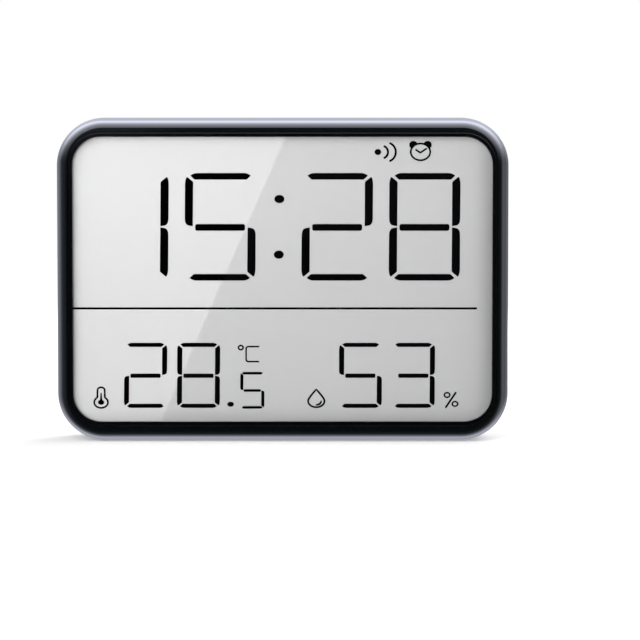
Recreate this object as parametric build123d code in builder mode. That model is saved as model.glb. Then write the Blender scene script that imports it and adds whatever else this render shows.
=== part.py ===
from build123d import *
from math import cos, hypot, radians, sin
import os

os.makedirs("parts", exist_ok=True)

# Desk clock with a thermometer and a hygrometer. X runs to the right as one reads the
# display, Y from the front to the back, Z up. The origin is the middle of the base.
# All sizes are in millimetres.

# Case
case_width = 100.0
case_height = 71.5
corner_radius = 10.6
front_round = 1.8
flank_depth = 4.6
flank_draft = 13.0
flank_blend = 6.0
rear_round = 3.0
side_wall = 1.9
rear_wall = 2.0
rear_half_depth = 6.0
seam_chamfer = 0.25
tongue_thickness = 1.0
tongue_length = 1.5

# Window and lens
rim_side = 3.8
rim_top = 4.4
window_radius = 6.2
lens_border = 0.9
lens_thickness = 1.5
lens_recess = 0.15
lens_chamfer = 0.12
web_thickness = 1.0
tape_thickness = 0.15

# Display sandwich
glass_overlap = 0.6
glass_thickness = 0.9
glass_corner_clip = 3.2
film_thickness = 0.2
film_inset = 0.15
gasket_thickness = 0.3
ledge_end_gap = 1.4
zebra_inset = 2.0

# Inner frame
frame_floor = 0.9
frame_post_radius = 2.6
snap_width = 8.0
snap_height = 0.45
snap_depth = 0.9
snap_end_gap = 11.4
snap_behind_web = 1.6

# Clearances
fit_gap = 0.15
running_gap = 0.3
pin_gap = 0.05
screw_gap = 0.05
seat_gap = 0.1
overrun = 2.0

# Circuit board and what it carries
board_side_gap = 0.4
board_thickness = 1.2
board_edge_gap = 0.4
board_box_gap = 2.0
board_post_height = 0.8
board_post_radius = 2.0
board_screw_from_side = 3.2
board_screw_from_bottom = 2.6
chip_radius = 5.0
chip_height = 1.5
chip_edge_round = 1.2
crystal_radius = 1.0
crystal_length = 6.0
crystal_from_chip = 8.5
buzzer_radius = 4.5
buzzer_height = 4.2
buzzer_chamfer = 0.3
buzzer_hole_radius = 1.0
buzzer_hole_depth = 0.8
sensor_width = 9.0
sensor_height = 9.0
sensor_depth = 3.2
sensor_corner = 0.3
sensor_slot_width = 0.8
sensor_slot_length = 6.0
sensor_slot_depth = 0.8
sensor_slot_pitch = 1.8
sensor_slot_count = 4

# Set buttons and their switches
button_names = ["mode", "set", "up", "down"]
button_pitch = 13.5
button_inner_x = 12.6
button_width = 9.5
button_height = 5.0
button_from_top = 9.0
button_recess = 0.2
button_flange = 0.7
button_flange_thickness = 0.8
button_edge_round = 0.5
button_travel = 0.5
switch_side = 6.0
switch_height = 3.5
plunger_radius = 1.5
plunger_rise = 1.5
plunger_root = 1.2

# Battery box, cells and contacts
cell_radius = 5.25
cell_length = 44.5
cell_nub_radius = 1.8
cell_nub_length = 0.8
cell_rim_chamfer = 0.4
cell_side_gap = 0.15
cell_door_gap = 0.35
box_wall = 1.5
box_floor = 0.8
box_bottom_z = 12.65
contact_thickness = 0.4
contact_side = 8.0
contact_tail_width = 1.0
contact_tail_gap = 0.3
contact_tail_rise = 1.3
contact_foot_height = 1.2
spring_root_radius = 2.8
spring_tip_radius = 2.0
spring_length = 4.6

# Battery door
door_thickness = 1.3
door_recess = 0.1
door_lap = 1.1
door_corner = 1.5
hook_width = 6.0
hook_spacing = 30.0
hook_thickness = 0.7
hook_reach = 1.1
hook_root = 0.8
latch_width = 9.0
latch_length = 7.0
latch_slit = 0.7
latch_grip_height = 0.8
latch_grip_depth = 0.35
latch_grip_pitch = 1.6
latch_grip_count = 3

# Kickstand, a loop hinged on two stub axles
stand_screw_wall = 0.6
stand_arm = 5.0
stand_foot = 4.6
stand_thickness = 2.4
stand_corner = 6.0
stand_foot_z = 4.9
stand_hinge_z = 40.0
stand_heel = 2.2
stand_recess = 0.3
stand_edge_round = 0.6
stand_open_angle = 45.0
axle_radius = 0.8
axle_length = 1.8
axle_end_gap = 0.2
channel_wall = 1.2
stop_gap = 0.15
finger_notch_width = 16.0
finger_notch_height = 5.0

# Keyhole for hanging
keyhole_entry_radius = 3.8
keyhole_slot_radius = 2.0
keyhole_rise = 5.0
keyhole_pocket_depth = 3.2
keyhole_cup_wall = 1.0

# Vents
vent_x = 24.0
vent_slot_length = 10.0
vent_slot_width = 1.2
vent_slot_pitch = 2.4
vent_slot_count = 4
sound_hole_radius = 0.7
sound_ring_radius = 2.9
sound_ring_count = 6

# Screws
case_screw_inset_x = 5.8
case_screw_inset_z = 10.6
case_screw_radius = 1.0
case_screw_head_radius = 2.0
case_screw_head_height = 1.4
case_screw_length = 8.0
case_screw_sink = 2.2
case_screw_boss_radius = 3.0
case_screw_boss_height = 2.0
board_screw_radius = 0.7
board_screw_head_radius = 1.6
board_screw_head_height = 0.9
board_screw_grip = 0.6
screw_edge_chamfer = 0.25

# Window, lens and glass, all centred on the face
window_width = case_width - 2 * rim_side
window_height = case_height - 2 * rim_top
lens_width = window_width + 2 * lens_border
lens_height = window_height + 2 * lens_border
lens_radius = window_radius + lens_border
glass_width = window_width + 2 * glass_overlap
glass_height = window_height + 2 * glass_overlap
cavity_width = case_width - 2 * side_wall
cavity_height = case_height - 2 * side_wall
cavity_radius = corner_radius - side_wall
ledge_top = cavity_height / 2 - 2 * fit_gap
ledge_width = cavity_width - 2 * (cavity_radius + ledge_end_gap)
snap_spread = cavity_width - 2 * (cavity_radius + snap_end_gap)

# The depth is the sum of the layers, from the lens to the battery door
display_depth = lens_recess + lens_thickness + tape_thickness + web_thickness
display_depth += gasket_thickness + 2 * film_thickness + 2 * glass_thickness + frame_floor
battery_depth = box_floor + cell_side_gap + 2 * cell_radius + cell_door_gap
case_depth = display_depth + seat_gap + battery_depth + door_thickness + door_recess

front_y = -case_depth / 2
rear_y = case_depth / 2
flank_y = front_y + flank_depth
lens_rear_y = front_y + lens_recess + lens_thickness
web_front_y = lens_rear_y + tape_thickness
web_rear_y = web_front_y + web_thickness
gasket_rear_y = web_rear_y + gasket_thickness
polarizer_rear_y = gasket_rear_y + film_thickness
front_glass_rear_y = polarizer_rear_y + glass_thickness
rear_glass_rear_y = front_glass_rear_y + glass_thickness
reflector_rear_y = rear_glass_rear_y + film_thickness
frame_rear_y = reflector_rear_y + frame_floor
board_front_y = frame_rear_y + board_post_height
board_rear_y = board_front_y + board_thickness
parting_y = rear_y - rear_half_depth
rear_wall_y = rear_y - rear_wall

# Battery box and door, seen from the back
box_front_y = frame_rear_y + seat_gap
box_floor_y = box_front_y + box_floor
box_width = cell_length + spring_length + 2 * contact_thickness
box_height = 4 * cell_radius + 3 * cell_side_gap
box_z = box_bottom_z + box_height / 2
cell_y = box_floor_y + cell_side_gap + cell_radius
cell_offset = cell_radius + cell_side_gap / 2
door_seat_y = rear_y - door_recess - door_thickness
door_bottom_z = box_bottom_z - door_lap + fit_gap
door_top_z = box_bottom_z + box_height + door_lap - fit_gap
door_width = box_width + 2 * (door_lap - fit_gap)
hook_outer_y = rear_wall_y - seat_gap
hook_inner_y = hook_outer_y - hook_thickness
hook_foot_z = door_bottom_z + fit_gap
hook_drop = rear_y - door_recess - hook_inner_y
hook_sweep = hypot(hook_drop, hook_reach)

# Screws that hold the two halves together
screw_seat_y = rear_y - case_screw_sink
boss_front_y = screw_seat_y - case_screw_boss_height
screw_spread_x = case_width - 2 * case_screw_inset_x
screw_spread_z = case_height - 2 * case_screw_inset_z

# Board between the posts of those screws
board_width = screw_spread_x - 2 * (frame_post_radius + board_side_gap)
board_top_z = case_height - side_wall - board_edge_gap
board_bottom_z = box_bottom_z + box_height + box_wall + board_box_gap
board_height = board_top_z - board_bottom_z
board_z = (board_top_z + board_bottom_z) / 2
button_z = case_height - button_from_top
switch_top_y = board_rear_y + switch_height
plunger_top_y = switch_top_y + plunger_rise

# Two keys on each side of the keyhole, from left to right as one looks at the back, a
# board screw between the keys of each pair and two more at the foot of the board
button_outer_x = button_inner_x + button_pitch
button_xs = [button_outer_x, button_inner_x, -button_inner_x, -button_outer_x]
button_points = [(x, button_z) for x in button_xs]
board_screw_upper_x = button_inner_x + button_pitch / 2
board_screw_lower_x = board_width / 2 - board_screw_from_side
board_screw_points = [(side * board_screw_upper_x, button_z) for side in (-1, 1)]
board_screw_points += [
    (side * board_screw_lower_x, board_bottom_z + board_screw_from_bottom) for side in (-1, 1)
]

# The vents lie midway between the keys and the door, the keyhole between door and case top
vent_z = (door_top_z + button_z) / 2
keyhole_entry_z = (door_top_z + case_height - keyhole_rise) / 2

# Stand between the case screws, its channel and its stop
stand_width = screw_spread_x - 2 * (case_screw_head_radius + 2 * running_gap + stand_screw_wall)
stand_rear_y = rear_y - stand_recess
stand_front_y = stand_rear_y - stand_thickness
hinge_y = stand_rear_y - stand_thickness / 2
channel_floor_y = stand_front_y - running_gap
heel_depth = stand_heel * sin(radians(stand_open_angle))
heel_depth += stand_thickness / 2 * cos(radians(stand_open_angle))
heel_floor_y = hinge_y - heel_depth - stop_gap
heel_sweep = hypot(stand_heel, stand_thickness / 2)
channel_top_z = stand_hinge_z + heel_sweep + running_gap
arm_x = (stand_width - stand_arm) / 2


def face_plane(y):
    """Plane across the case at depth y, centred on the window, looking to the front."""
    return Plane(origin=(0, y, case_height / 2), x_dir=(1, 0, 0), z_dir=(0, -1, 0))


def base_plane(y):
    """The same plane with its origin at the height of the base."""
    return Plane(origin=(0, y, 0), x_dir=(1, 0, 0), z_dir=(0, -1, 0))


def clipped_rectangle(sketch, width, height):
    """Draw a pane's outline, a rectangle with its four corners cut off."""
    Rectangle(width, height)
    chamfer(sketch.vertices(), glass_corner_clip)


def stand_outline(sketch, margin, top_z):
    """Draw the stand's U, grown by margin all round and ending at top_z."""
    low = stand_foot_z - margin
    inner_low = stand_foot_z + stand_foot + margin
    inner_corner = stand_corner - stand_foot - margin
    with Locations((0, (low + top_z) / 2)):
        Rectangle(stand_width + 2 * margin, top_z - low)
    fillet(sketch.vertices().group_by(Axis.Y)[0], stand_corner + margin)
    with Locations((0, (inner_low + top_z) / 2)):
        Rectangle(stand_width - 2 * stand_arm - 2 * margin, top_z - inner_low, mode=Mode.SUBTRACT)
    if inner_corner > 0:
        inner = sketch.vertices().filter_by_position(Axis.Y, inner_low - fit_gap, inner_low + fit_gap)
        fillet(inner, inner_corner)


def finish(part, label):
    """Label a finished piece and write it."""
    part.label = label
    export_step(part, f"parts/{label}.step")


# Front half of the case, with its rounded rim and the web that the lens sits on
with BuildPart() as front_bezel:
    with BuildSketch(face_plane(parting_y)):
        RectangleRounded(case_width, case_height, corner_radius)
    extrude(amount=parting_y - flank_y)
    with BuildSketch(face_plane(flank_y)):
        RectangleRounded(case_width, case_height, corner_radius)
    extrude(amount=flank_depth, taper=flank_draft)
    fillet(front_bezel.faces().sort_by(Axis.Y)[0].edges(), front_round)
    fillet(front_bezel.edges().filter_by_position(Axis.Y, flank_y - fit_gap, flank_y + fit_gap), flank_blend)
    chamfer(front_bezel.faces().sort_by(Axis.Y)[-1].edges(), seam_chamfer)
    with BuildSketch(face_plane(parting_y)):
        RectangleRounded(cavity_width, cavity_height, cavity_radius)
    extrude(amount=parting_y - web_rear_y, mode=Mode.SUBTRACT)
    with BuildSketch(face_plane(web_front_y)):
        RectangleRounded(lens_width + 2 * fit_gap, lens_height + 2 * fit_gap, lens_radius + fit_gap)
    extrude(amount=web_front_y - front_y, mode=Mode.SUBTRACT)
    with BuildSketch(face_plane(web_rear_y)):
        RectangleRounded(window_width, window_height, window_radius)
    extrude(amount=web_thickness, mode=Mode.SUBTRACT)
    with BuildSketch(face_plane(web_rear_y + snap_behind_web + snap_depth + fit_gap)):
        with Locations((-snap_spread / 2, 0), (snap_spread / 2, 0)):
            Rectangle(snap_width + 2 * fit_gap, cavity_height + 2 * snap_height)
        Rectangle(cavity_width + 2 * snap_height, snap_width + 2 * fit_gap)
    extrude(amount=snap_depth + 2 * fit_gap, mode=Mode.SUBTRACT)
finish(front_bezel.part, "front_bezel")

# Clear pane, let into the front and held by a ring of tape
with BuildPart() as front_lens:
    with BuildSketch(face_plane(lens_rear_y)):
        RectangleRounded(lens_width, lens_height, lens_radius)
    extrude(amount=lens_thickness)
    chamfer(front_lens.faces().sort_by(Axis.Y)[0].edges(), lens_chamfer)
finish(front_lens.part, "front_lens")

with BuildPart() as lens_tape:
    with BuildSketch(face_plane(web_front_y)):
        RectangleRounded(lens_width, lens_height, lens_radius)
        RectangleRounded(window_width, window_height, window_radius, mode=Mode.SUBTRACT)
    extrude(amount=tape_thickness)
finish(lens_tape.part, "lens_tape")

# Display: foam ring, polarizer, two panes and the grey reflector
with BuildPart() as display_gasket:
    with BuildSketch(face_plane(gasket_rear_y)) as gasket_outline:
        RectangleRounded(glass_width, glass_height, window_radius + glass_overlap)
        RectangleRounded(window_width, window_height, window_radius, mode=Mode.SUBTRACT)
    extrude(amount=gasket_thickness)
finish(display_gasket.part, "display_gasket")

with BuildPart() as front_polarizer:
    with BuildSketch(face_plane(polarizer_rear_y)) as polarizer_outline:
        clipped_rectangle(polarizer_outline, glass_width - 2 * film_inset, glass_height - 2 * film_inset)
    extrude(amount=film_thickness)
finish(front_polarizer.part, "front_polarizer")

with BuildPart() as display_front_glass:
    with BuildSketch(face_plane(front_glass_rear_y)) as front_glass_outline:
        clipped_rectangle(front_glass_outline, glass_width, glass_height)
        with Locations((0, ledge_top / 2)):
            Rectangle(ledge_width, ledge_top)
    extrude(amount=glass_thickness)
finish(display_front_glass.part, "display_front_glass")

with BuildPart() as display_rear_glass:
    with BuildSketch(face_plane(rear_glass_rear_y)) as rear_glass_outline:
        clipped_rectangle(rear_glass_outline, glass_width, glass_height)
    extrude(amount=glass_thickness)
finish(display_rear_glass.part, "display_rear_glass")

with BuildPart() as reflector_film:
    with BuildSketch(face_plane(reflector_rear_y)) as reflector_outline:
        clipped_rectangle(reflector_outline, glass_width - 2 * film_inset, glass_height - 2 * film_inset)
    extrude(amount=film_thickness)
finish(reflector_film.part, "reflector_film")

# Inner frame: a tray round the display, snapped into the front half, with posts for the
# board and for the case screws on its back
with BuildPart() as display_frame:
    with BuildSketch(face_plane(frame_rear_y)):
        RectangleRounded(cavity_width - 2 * fit_gap, cavity_height - 2 * fit_gap, cavity_radius - fit_gap)
    extrude(amount=frame_rear_y - web_rear_y)
    with BuildSketch(face_plane(reflector_rear_y)) as tray_outline:
        clipped_rectangle(tray_outline, glass_width + 2 * fit_gap, glass_height + 2 * fit_gap)
    extrude(amount=reflector_rear_y - web_rear_y, mode=Mode.SUBTRACT)
    with BuildSketch(face_plane(frame_rear_y)):
        with Locations((0, (glass_height + cavity_height) / 4 + overrun / 2)):
            Rectangle(ledge_width + 2 * fit_gap, (cavity_height - glass_height) / 2 + overrun)
    extrude(amount=frame_rear_y - web_rear_y, mode=Mode.SUBTRACT)
    with BuildSketch(face_plane(web_rear_y + snap_behind_web + snap_depth)):
        for side in (-1, 1):
            with Locations((side * snap_spread / 2, -cavity_height / 2 + fit_gap)):
                Rectangle(snap_width, 2 * snap_height - 2 * fit_gap)
            with Locations((side * (cavity_width / 2 - fit_gap), 0)):
                Rectangle(2 * snap_height - 2 * fit_gap, snap_width)
    extrude(amount=snap_depth)
    with BuildSketch(face_plane(boss_front_y)):
        with GridLocations(screw_spread_x, screw_spread_z, 2, 2):
            Circle(frame_post_radius)
            Circle(case_screw_radius + screw_gap, mode=Mode.SUBTRACT)
    extrude(amount=boss_front_y - frame_rear_y)
    with BuildSketch(base_plane(board_front_y)):
        with Locations(board_screw_points):
            Circle(board_post_radius)
    extrude(amount=board_post_height)
    with BuildSketch(base_plane(board_front_y)):
        with Locations(board_screw_points):
            Circle(board_screw_radius + screw_gap)
    extrude(amount=board_post_height + board_screw_grip + screw_gap, mode=Mode.SUBTRACT)
finish(display_frame.part, "display_frame")

# Conductive strip from the front pane's ledge to the board
with BuildPart() as zebra_strip:
    with BuildSketch(face_plane(board_front_y)):
        with Locations((0, (glass_height / 2 + ledge_top) / 2)):
            Rectangle(ledge_width - 2 * zebra_inset, ledge_top - glass_height / 2 - 2 * fit_gap)
    extrude(amount=board_front_y - front_glass_rear_y)
finish(zebra_strip.part, "zebra_strip")

# Circuit board, screwed to the inner frame
with BuildPart() as circuit_board:
    with BuildSketch(base_plane(board_rear_y)):
        with Locations((0, board_z)):
            Rectangle(board_width, board_height)
        with Locations(board_screw_points):
            Circle(board_screw_radius + running_gap, mode=Mode.SUBTRACT)
    extrude(amount=board_thickness)
finish(circuit_board.part, "circuit_board")

with BuildPart() as board_screws:
    with BuildSketch(base_plane(board_rear_y + board_screw_head_height)):
        with Locations(board_screw_points):
            Circle(board_screw_head_radius)
    extrude(amount=board_screw_head_height)
    chamfer(board_screws.faces().group_by(Axis.Y)[-1].edges(), screw_edge_chamfer)
    with BuildSketch(base_plane(board_rear_y)):
        with Locations(board_screw_points):
            Circle(board_screw_radius)
    extrude(amount=board_thickness + board_post_height + board_screw_grip)
finish(board_screws.part, "board_screws")

# Drop of epoxy over the clock chip, and the crystal beside it
with BuildPart() as controller_chip:
    with BuildSketch(base_plane(board_rear_y + chip_height)):
        with Locations((0, vent_z)):
            Circle(chip_radius)
    extrude(amount=chip_height)
    fillet(controller_chip.faces().sort_by(Axis.Y)[-1].edges(), chip_edge_round)
finish(controller_chip.part, "controller_chip")

with BuildPart() as quartz_crystal:
    with BuildSketch(Plane.XY.offset(vent_z - crystal_length / 2)):
        with Locations((crystal_from_chip, board_rear_y + crystal_radius)):
            Circle(crystal_radius)
    extrude(amount=crystal_length)
finish(quartz_crystal.part, "quartz_crystal")

# Sounder with its hole, behind the ring of holes in the back
with BuildPart() as buzzer:
    with BuildSketch(base_plane(board_rear_y + buzzer_height)):
        with Locations((-vent_x, vent_z)):
            Circle(buzzer_radius)
    extrude(amount=buzzer_height)
    chamfer(buzzer.faces().sort_by(Axis.Y)[-1].edges(), buzzer_chamfer)
    with BuildSketch(base_plane(board_rear_y + buzzer_height)):
        with Locations((-vent_x, vent_z)):
            Circle(buzzer_hole_radius)
    extrude(amount=buzzer_hole_depth, mode=Mode.SUBTRACT)
finish(buzzer.part, "buzzer")

# Temperature and humidity sensor in its slotted housing, behind the vent slots
with BuildPart() as climate_sensor:
    with BuildSketch(base_plane(board_rear_y + sensor_depth)):
        with Locations((vent_x, vent_z)):
            Rectangle(sensor_width, sensor_height)
    extrude(amount=sensor_depth)
    fillet(climate_sensor.edges().filter_by(Axis.Y), sensor_corner)
    with BuildSketch(base_plane(board_rear_y + sensor_depth)):
        with Locations((vent_x, vent_z)):
            with GridLocations(0, sensor_slot_pitch, 1, sensor_slot_count):
                Rectangle(sensor_slot_length, sensor_slot_width)
    extrude(amount=sensor_slot_depth, mode=Mode.SUBTRACT)
finish(climate_sensor.part, "climate_sensor")

# Four key switches in a row along the board
with BuildPart() as key_switches:
    with BuildSketch(base_plane(switch_top_y)):
        with Locations(button_points):
            Rectangle(switch_side, switch_side)
    extrude(amount=switch_height)
    with BuildSketch(base_plane(switch_top_y)):
        with Locations(button_points):
            Circle(plunger_radius + pin_gap)
    extrude(amount=plunger_root + button_travel + running_gap, mode=Mode.SUBTRACT)
finish(key_switches.part, "key_switches")

# Each button has a cap in the back and the switch's own plunger under its stem
for name, button_point in zip(button_names, button_points):
    with BuildPart() as button:
        with BuildSketch(base_plane(rear_y - button_recess)):
            with Locations(button_point):
                SlotOverall(button_width, button_height)
        extrude(amount=rear_wall - button_recess + seat_gap)
        fillet(button.faces().sort_by(Axis.Y)[-1].edges(), button_edge_round)
        with BuildSketch(base_plane(rear_wall_y - seat_gap)):
            with Locations(button_point):
                SlotOverall(button_width + 2 * (running_gap + button_flange),
                            button_height + 2 * (running_gap + button_flange))
        extrude(amount=button_flange_thickness)
        with BuildSketch(base_plane(rear_wall_y - seat_gap - button_flange_thickness)):
            with Locations(button_point):
                Circle(plunger_radius)
        extrude(amount=rear_wall_y - seat_gap - button_flange_thickness - plunger_top_y)
    finish(button.part, f"{name}_button")

    with BuildPart() as plunger:
        with BuildSketch(base_plane(plunger_top_y)):
            with Locations(button_point):
                Circle(plunger_radius)
        extrude(amount=plunger_rise + plunger_root)
    finish(plunger.part, f"{name}_plunger")

# Two cells side by side, the upper one with its nub to the right
for name, side in (("upper", 1), ("lower", -1)):
    with BuildPart() as cell:
        with BuildSketch(Plane.YZ.offset(side * (contact_thickness + spring_length - box_width / 2))):
            with Locations((cell_y, box_z + side * cell_offset)):
                Circle(cell_radius)
        extrude(amount=side * (cell_length - cell_nub_length))
        chamfer(cell.edges().filter_by(GeomType.CIRCLE), cell_rim_chamfer)
        with BuildSketch(Plane.YZ.offset(side * (box_width / 2 - contact_thickness))):
            with Locations((cell_y, box_z + side * cell_offset)):
                Circle(cell_nub_radius)
        extrude(amount=-side * cell_nub_length)
    finish(cell.part, f"{name}_battery")

tail_top_z = board_bottom_z + contact_tail_rise
plate_front_y = board_rear_y + contact_tail_width + contact_tail_gap
plate_rear_y = cell_y + contact_side / 2

# Left end, upper cell: plate, spring and a tail that bends on to the board
with BuildPart() as negative_contact:
    foot_low_z = tail_top_z + 2 * contact_tail_gap
    with BuildSketch(Plane.YZ.offset(-box_width / 2)):
        with Locations(((plate_front_y + plate_rear_y) / 2, box_z + cell_offset)):
            Rectangle(plate_rear_y - plate_front_y, contact_side)
        with Locations((plate_front_y, box_z + cell_offset)):
            Rectangle(contact_tail_width, foot_low_z + contact_foot_height - box_z - cell_offset,
                      align=(Align.MIN, Align.MIN))
        with Locations((board_rear_y, foot_low_z)):
            Rectangle(plate_front_y - board_rear_y + contact_tail_width, contact_foot_height,
                      align=(Align.MIN, Align.MIN))
    extrude(amount=contact_thickness)
    with Locations(Location((contact_thickness - box_width / 2, cell_y, box_z + cell_offset), (0, 90, 0))):
        Cone(spring_root_radius, spring_tip_radius, spring_length,
             align=(Align.CENTER, Align.CENTER, Align.MIN))
finish(negative_contact.part, "negative_contact")

# Left end, lower cell: plate with a straight tail that passes in front of the other plate
with BuildPart() as positive_contact:
    with BuildSketch(Plane.YZ.offset(-box_width / 2)):
        with Locations(((board_rear_y + plate_rear_y) / 2, box_z - cell_offset)):
            Rectangle(plate_rear_y - board_rear_y, contact_side)
        with Locations((board_rear_y, box_z - cell_offset)):
            Rectangle(contact_tail_width, tail_top_z - box_z + cell_offset, align=(Align.MIN, Align.MIN))
    extrude(amount=contact_thickness)
finish(positive_contact.part, "positive_contact")

# Right end: one plate that joins both cells, with the lower cell's spring
with BuildPart() as series_contact:
    with BuildSketch(Plane.YZ.offset(box_width / 2)):
        with Locations((cell_y, box_z)):
            Rectangle(contact_side, 2 * cell_offset + contact_side)
    extrude(amount=-contact_thickness)
    with Locations(Location((box_width / 2 - contact_thickness, cell_y, box_z - cell_offset), (0, -90, 0))):
        Cone(spring_root_radius, spring_tip_radius, spring_length,
             align=(Align.CENTER, Align.CENTER, Align.MIN))
finish(series_contact.part, "series_contact")

# Back half of the case
with BuildPart() as rear_cover:
    with BuildSketch(face_plane(parting_y)):
        RectangleRounded(case_width, case_height, corner_radius)
    extrude(amount=parting_y - rear_y)
    fillet(rear_cover.faces().sort_by(Axis.Y)[-1].edges(), rear_round)
    chamfer(rear_cover.faces().sort_by(Axis.Y)[0].edges(), seam_chamfer)
    with BuildSketch(face_plane(parting_y)):
        RectangleRounded(cavity_width - 2 * fit_gap, cavity_height - 2 * fit_gap, cavity_radius - fit_gap)
    extrude(amount=tongue_length)
    inner_inset = side_wall + fit_gap + tongue_thickness
    with BuildSketch(face_plane(rear_wall_y)):
        RectangleRounded(case_width - 2 * inner_inset, case_height - 2 * inner_inset,
                         corner_radius - inner_inset)
    extrude(amount=rear_wall_y - parting_y + tongue_length, mode=Mode.SUBTRACT)

    # Solid behind the stand's channel, the hinge blocks, the keyhole's cup, the screw
    # bosses and the battery box, before any of them is hollowed
    with BuildSketch(base_plane(rear_wall_y)) as channel_back:
        stand_outline(channel_back, running_gap + channel_wall, channel_top_z)
    extrude(amount=rear_wall_y - channel_floor_y + channel_wall)
    with BuildSketch(base_plane(rear_wall_y)):
        block_width = stand_arm + 2 * (running_gap + axle_length + axle_end_gap + channel_wall)
        block_height = channel_top_z - stand_hinge_z + channel_wall + axle_radius + 2 * channel_wall
        with Locations((-arm_x, channel_top_z + channel_wall), (arm_x, channel_top_z + channel_wall)):
            Rectangle(block_width, block_height, align=(Align.CENTER, Align.MAX))
    extrude(amount=rear_wall_y - heel_floor_y + channel_wall)
    with BuildSketch(base_plane(rear_wall_y)):
        cup_radius = keyhole_entry_radius + running_gap + keyhole_cup_wall
        with Locations((0, keyhole_entry_z + keyhole_rise / 2)):
            SlotCenterToCenter(keyhole_rise, 2 * cup_radius, rotation=90)
    extrude(amount=keyhole_pocket_depth + keyhole_cup_wall)
    with BuildSketch(face_plane(rear_wall_y)):
        with GridLocations(screw_spread_x, screw_spread_z, 2, 2):
            Circle(case_screw_boss_radius)
    extrude(amount=rear_wall_y - boss_front_y)
    with BuildSketch(base_plane(rear_wall_y)):
        with Locations((0, box_z)):
            Rectangle(box_width + 2 * box_wall, box_height + 2 * box_wall)
    extrude(amount=rear_wall_y - box_front_y)

    # Battery box, the door's seat, its hook slots and the way for the contact tails
    with BuildSketch(base_plane(rear_y)):
        with Locations((0, box_z)):
            Rectangle(box_width, box_height)
    extrude(amount=rear_y - box_floor_y, mode=Mode.SUBTRACT)
    with BuildSketch(base_plane(rear_y)):
        with Locations((0, box_z)):
            RectangleRounded(box_width + 2 * door_lap, box_height + 2 * door_lap, door_corner + fit_gap)
    extrude(amount=rear_y - door_seat_y, mode=Mode.SUBTRACT)
    with BuildSketch(base_plane(door_seat_y)):
        with Locations((-hook_spacing / 2, box_bottom_z), (hook_spacing / 2, box_bottom_z)):
            Rectangle(hook_width + 2 * running_gap, door_lap, align=(Align.CENTER, Align.MAX))
    extrude(amount=door_seat_y - rear_y + door_recess + hook_sweep + running_gap, mode=Mode.SUBTRACT)
    with BuildSketch(base_plane(rear_wall_y)):
        with Locations((-hook_spacing / 2, box_bottom_z), (hook_spacing / 2, box_bottom_z)):
            Rectangle(hook_width + 2 * running_gap, door_lap + hook_reach + running_gap,
                      align=(Align.CENTER, Align.MAX))
    extrude(amount=rear_wall_y - rear_y + door_recess + hook_sweep + running_gap, mode=Mode.SUBTRACT)
    with BuildSketch(base_plane(plate_front_y + contact_tail_width + contact_tail_gap)):
        with Locations((-box_width / 2, box_z + box_height / 2)):
            Rectangle(contact_thickness + fit_gap, box_wall, align=(Align.MIN, Align.MIN))
    extrude(amount=plate_front_y + contact_tail_width + 2 * contact_tail_gap - board_rear_y,
            mode=Mode.SUBTRACT)

    # The stand's channel, its deeper heel pockets, the axle holes and the finger notch
    with BuildSketch(base_plane(rear_y)) as channel:
        stand_outline(channel, running_gap, channel_top_z)
    extrude(amount=rear_y - channel_floor_y, mode=Mode.SUBTRACT)
    with BuildSketch(base_plane(rear_y)):
        with Locations((-arm_x, channel_top_z), (arm_x, channel_top_z)):
            Rectangle(stand_arm + 2 * running_gap, channel_top_z - stand_hinge_z + axle_radius,
                      align=(Align.CENTER, Align.MAX))
    extrude(amount=rear_y - heel_floor_y, mode=Mode.SUBTRACT)
    for side in (-1, 1):
        with BuildSketch(Plane.YZ.offset(side * stand_width / 2)):
            with Locations((hinge_y, stand_hinge_z)):
                Circle(axle_radius + pin_gap)
        extrude(amount=side * (running_gap + axle_length + axle_end_gap), mode=Mode.SUBTRACT)
    with BuildSketch(base_plane(rear_y)):
        with Locations((0, stand_foot_z)):
            SlotOverall(finger_notch_width, finger_notch_height)
    extrude(amount=rear_y - channel_floor_y, mode=Mode.SUBTRACT)

    # Keyhole: a round entry and a narrow slot in the wall, over a wider blind pocket
    with BuildSketch(base_plane(rear_y)):
        with Locations((0, keyhole_entry_z)):
            Circle(keyhole_entry_radius)
        with Locations((0, keyhole_entry_z + keyhole_rise / 2)):
            SlotCenterToCenter(keyhole_rise, 2 * keyhole_slot_radius, rotation=90)
    extrude(amount=rear_wall, mode=Mode.SUBTRACT)
    with BuildSketch(base_plane(rear_wall_y)):
        with Locations((0, keyhole_entry_z + keyhole_rise / 2)):
            SlotCenterToCenter(keyhole_rise, 2 * (keyhole_entry_radius + running_gap), rotation=90)
    extrude(amount=keyhole_pocket_depth, mode=Mode.SUBTRACT)

    # Buttons, vent slots, sound holes and the sunk screws
    with BuildSketch(base_plane(rear_y)):
        with Locations(button_points):
            SlotOverall(button_width + 2 * running_gap, button_height + 2 * running_gap)
        with Locations((vent_x, vent_z)):
            with GridLocations(0, vent_slot_pitch, 1, vent_slot_count):
                SlotOverall(vent_slot_length, vent_slot_width)
        with Locations((-vent_x, vent_z)):
            Circle(sound_hole_radius)
            with PolarLocations(sound_ring_radius, sound_ring_count):
                Circle(sound_hole_radius)
    extrude(amount=rear_wall, mode=Mode.SUBTRACT)
    with BuildSketch(face_plane(rear_y)):
        with GridLocations(screw_spread_x, screw_spread_z, 2, 2):
            Circle(case_screw_head_radius + running_gap)
    extrude(amount=case_screw_sink, mode=Mode.SUBTRACT)
    with BuildSketch(face_plane(screw_seat_y)):
        with GridLocations(screw_spread_x, screw_spread_z, 2, 2):
            Circle(case_screw_radius + running_gap)
    extrude(amount=case_screw_boss_height, mode=Mode.SUBTRACT)
finish(rear_cover.part, "rear_cover")

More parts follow.
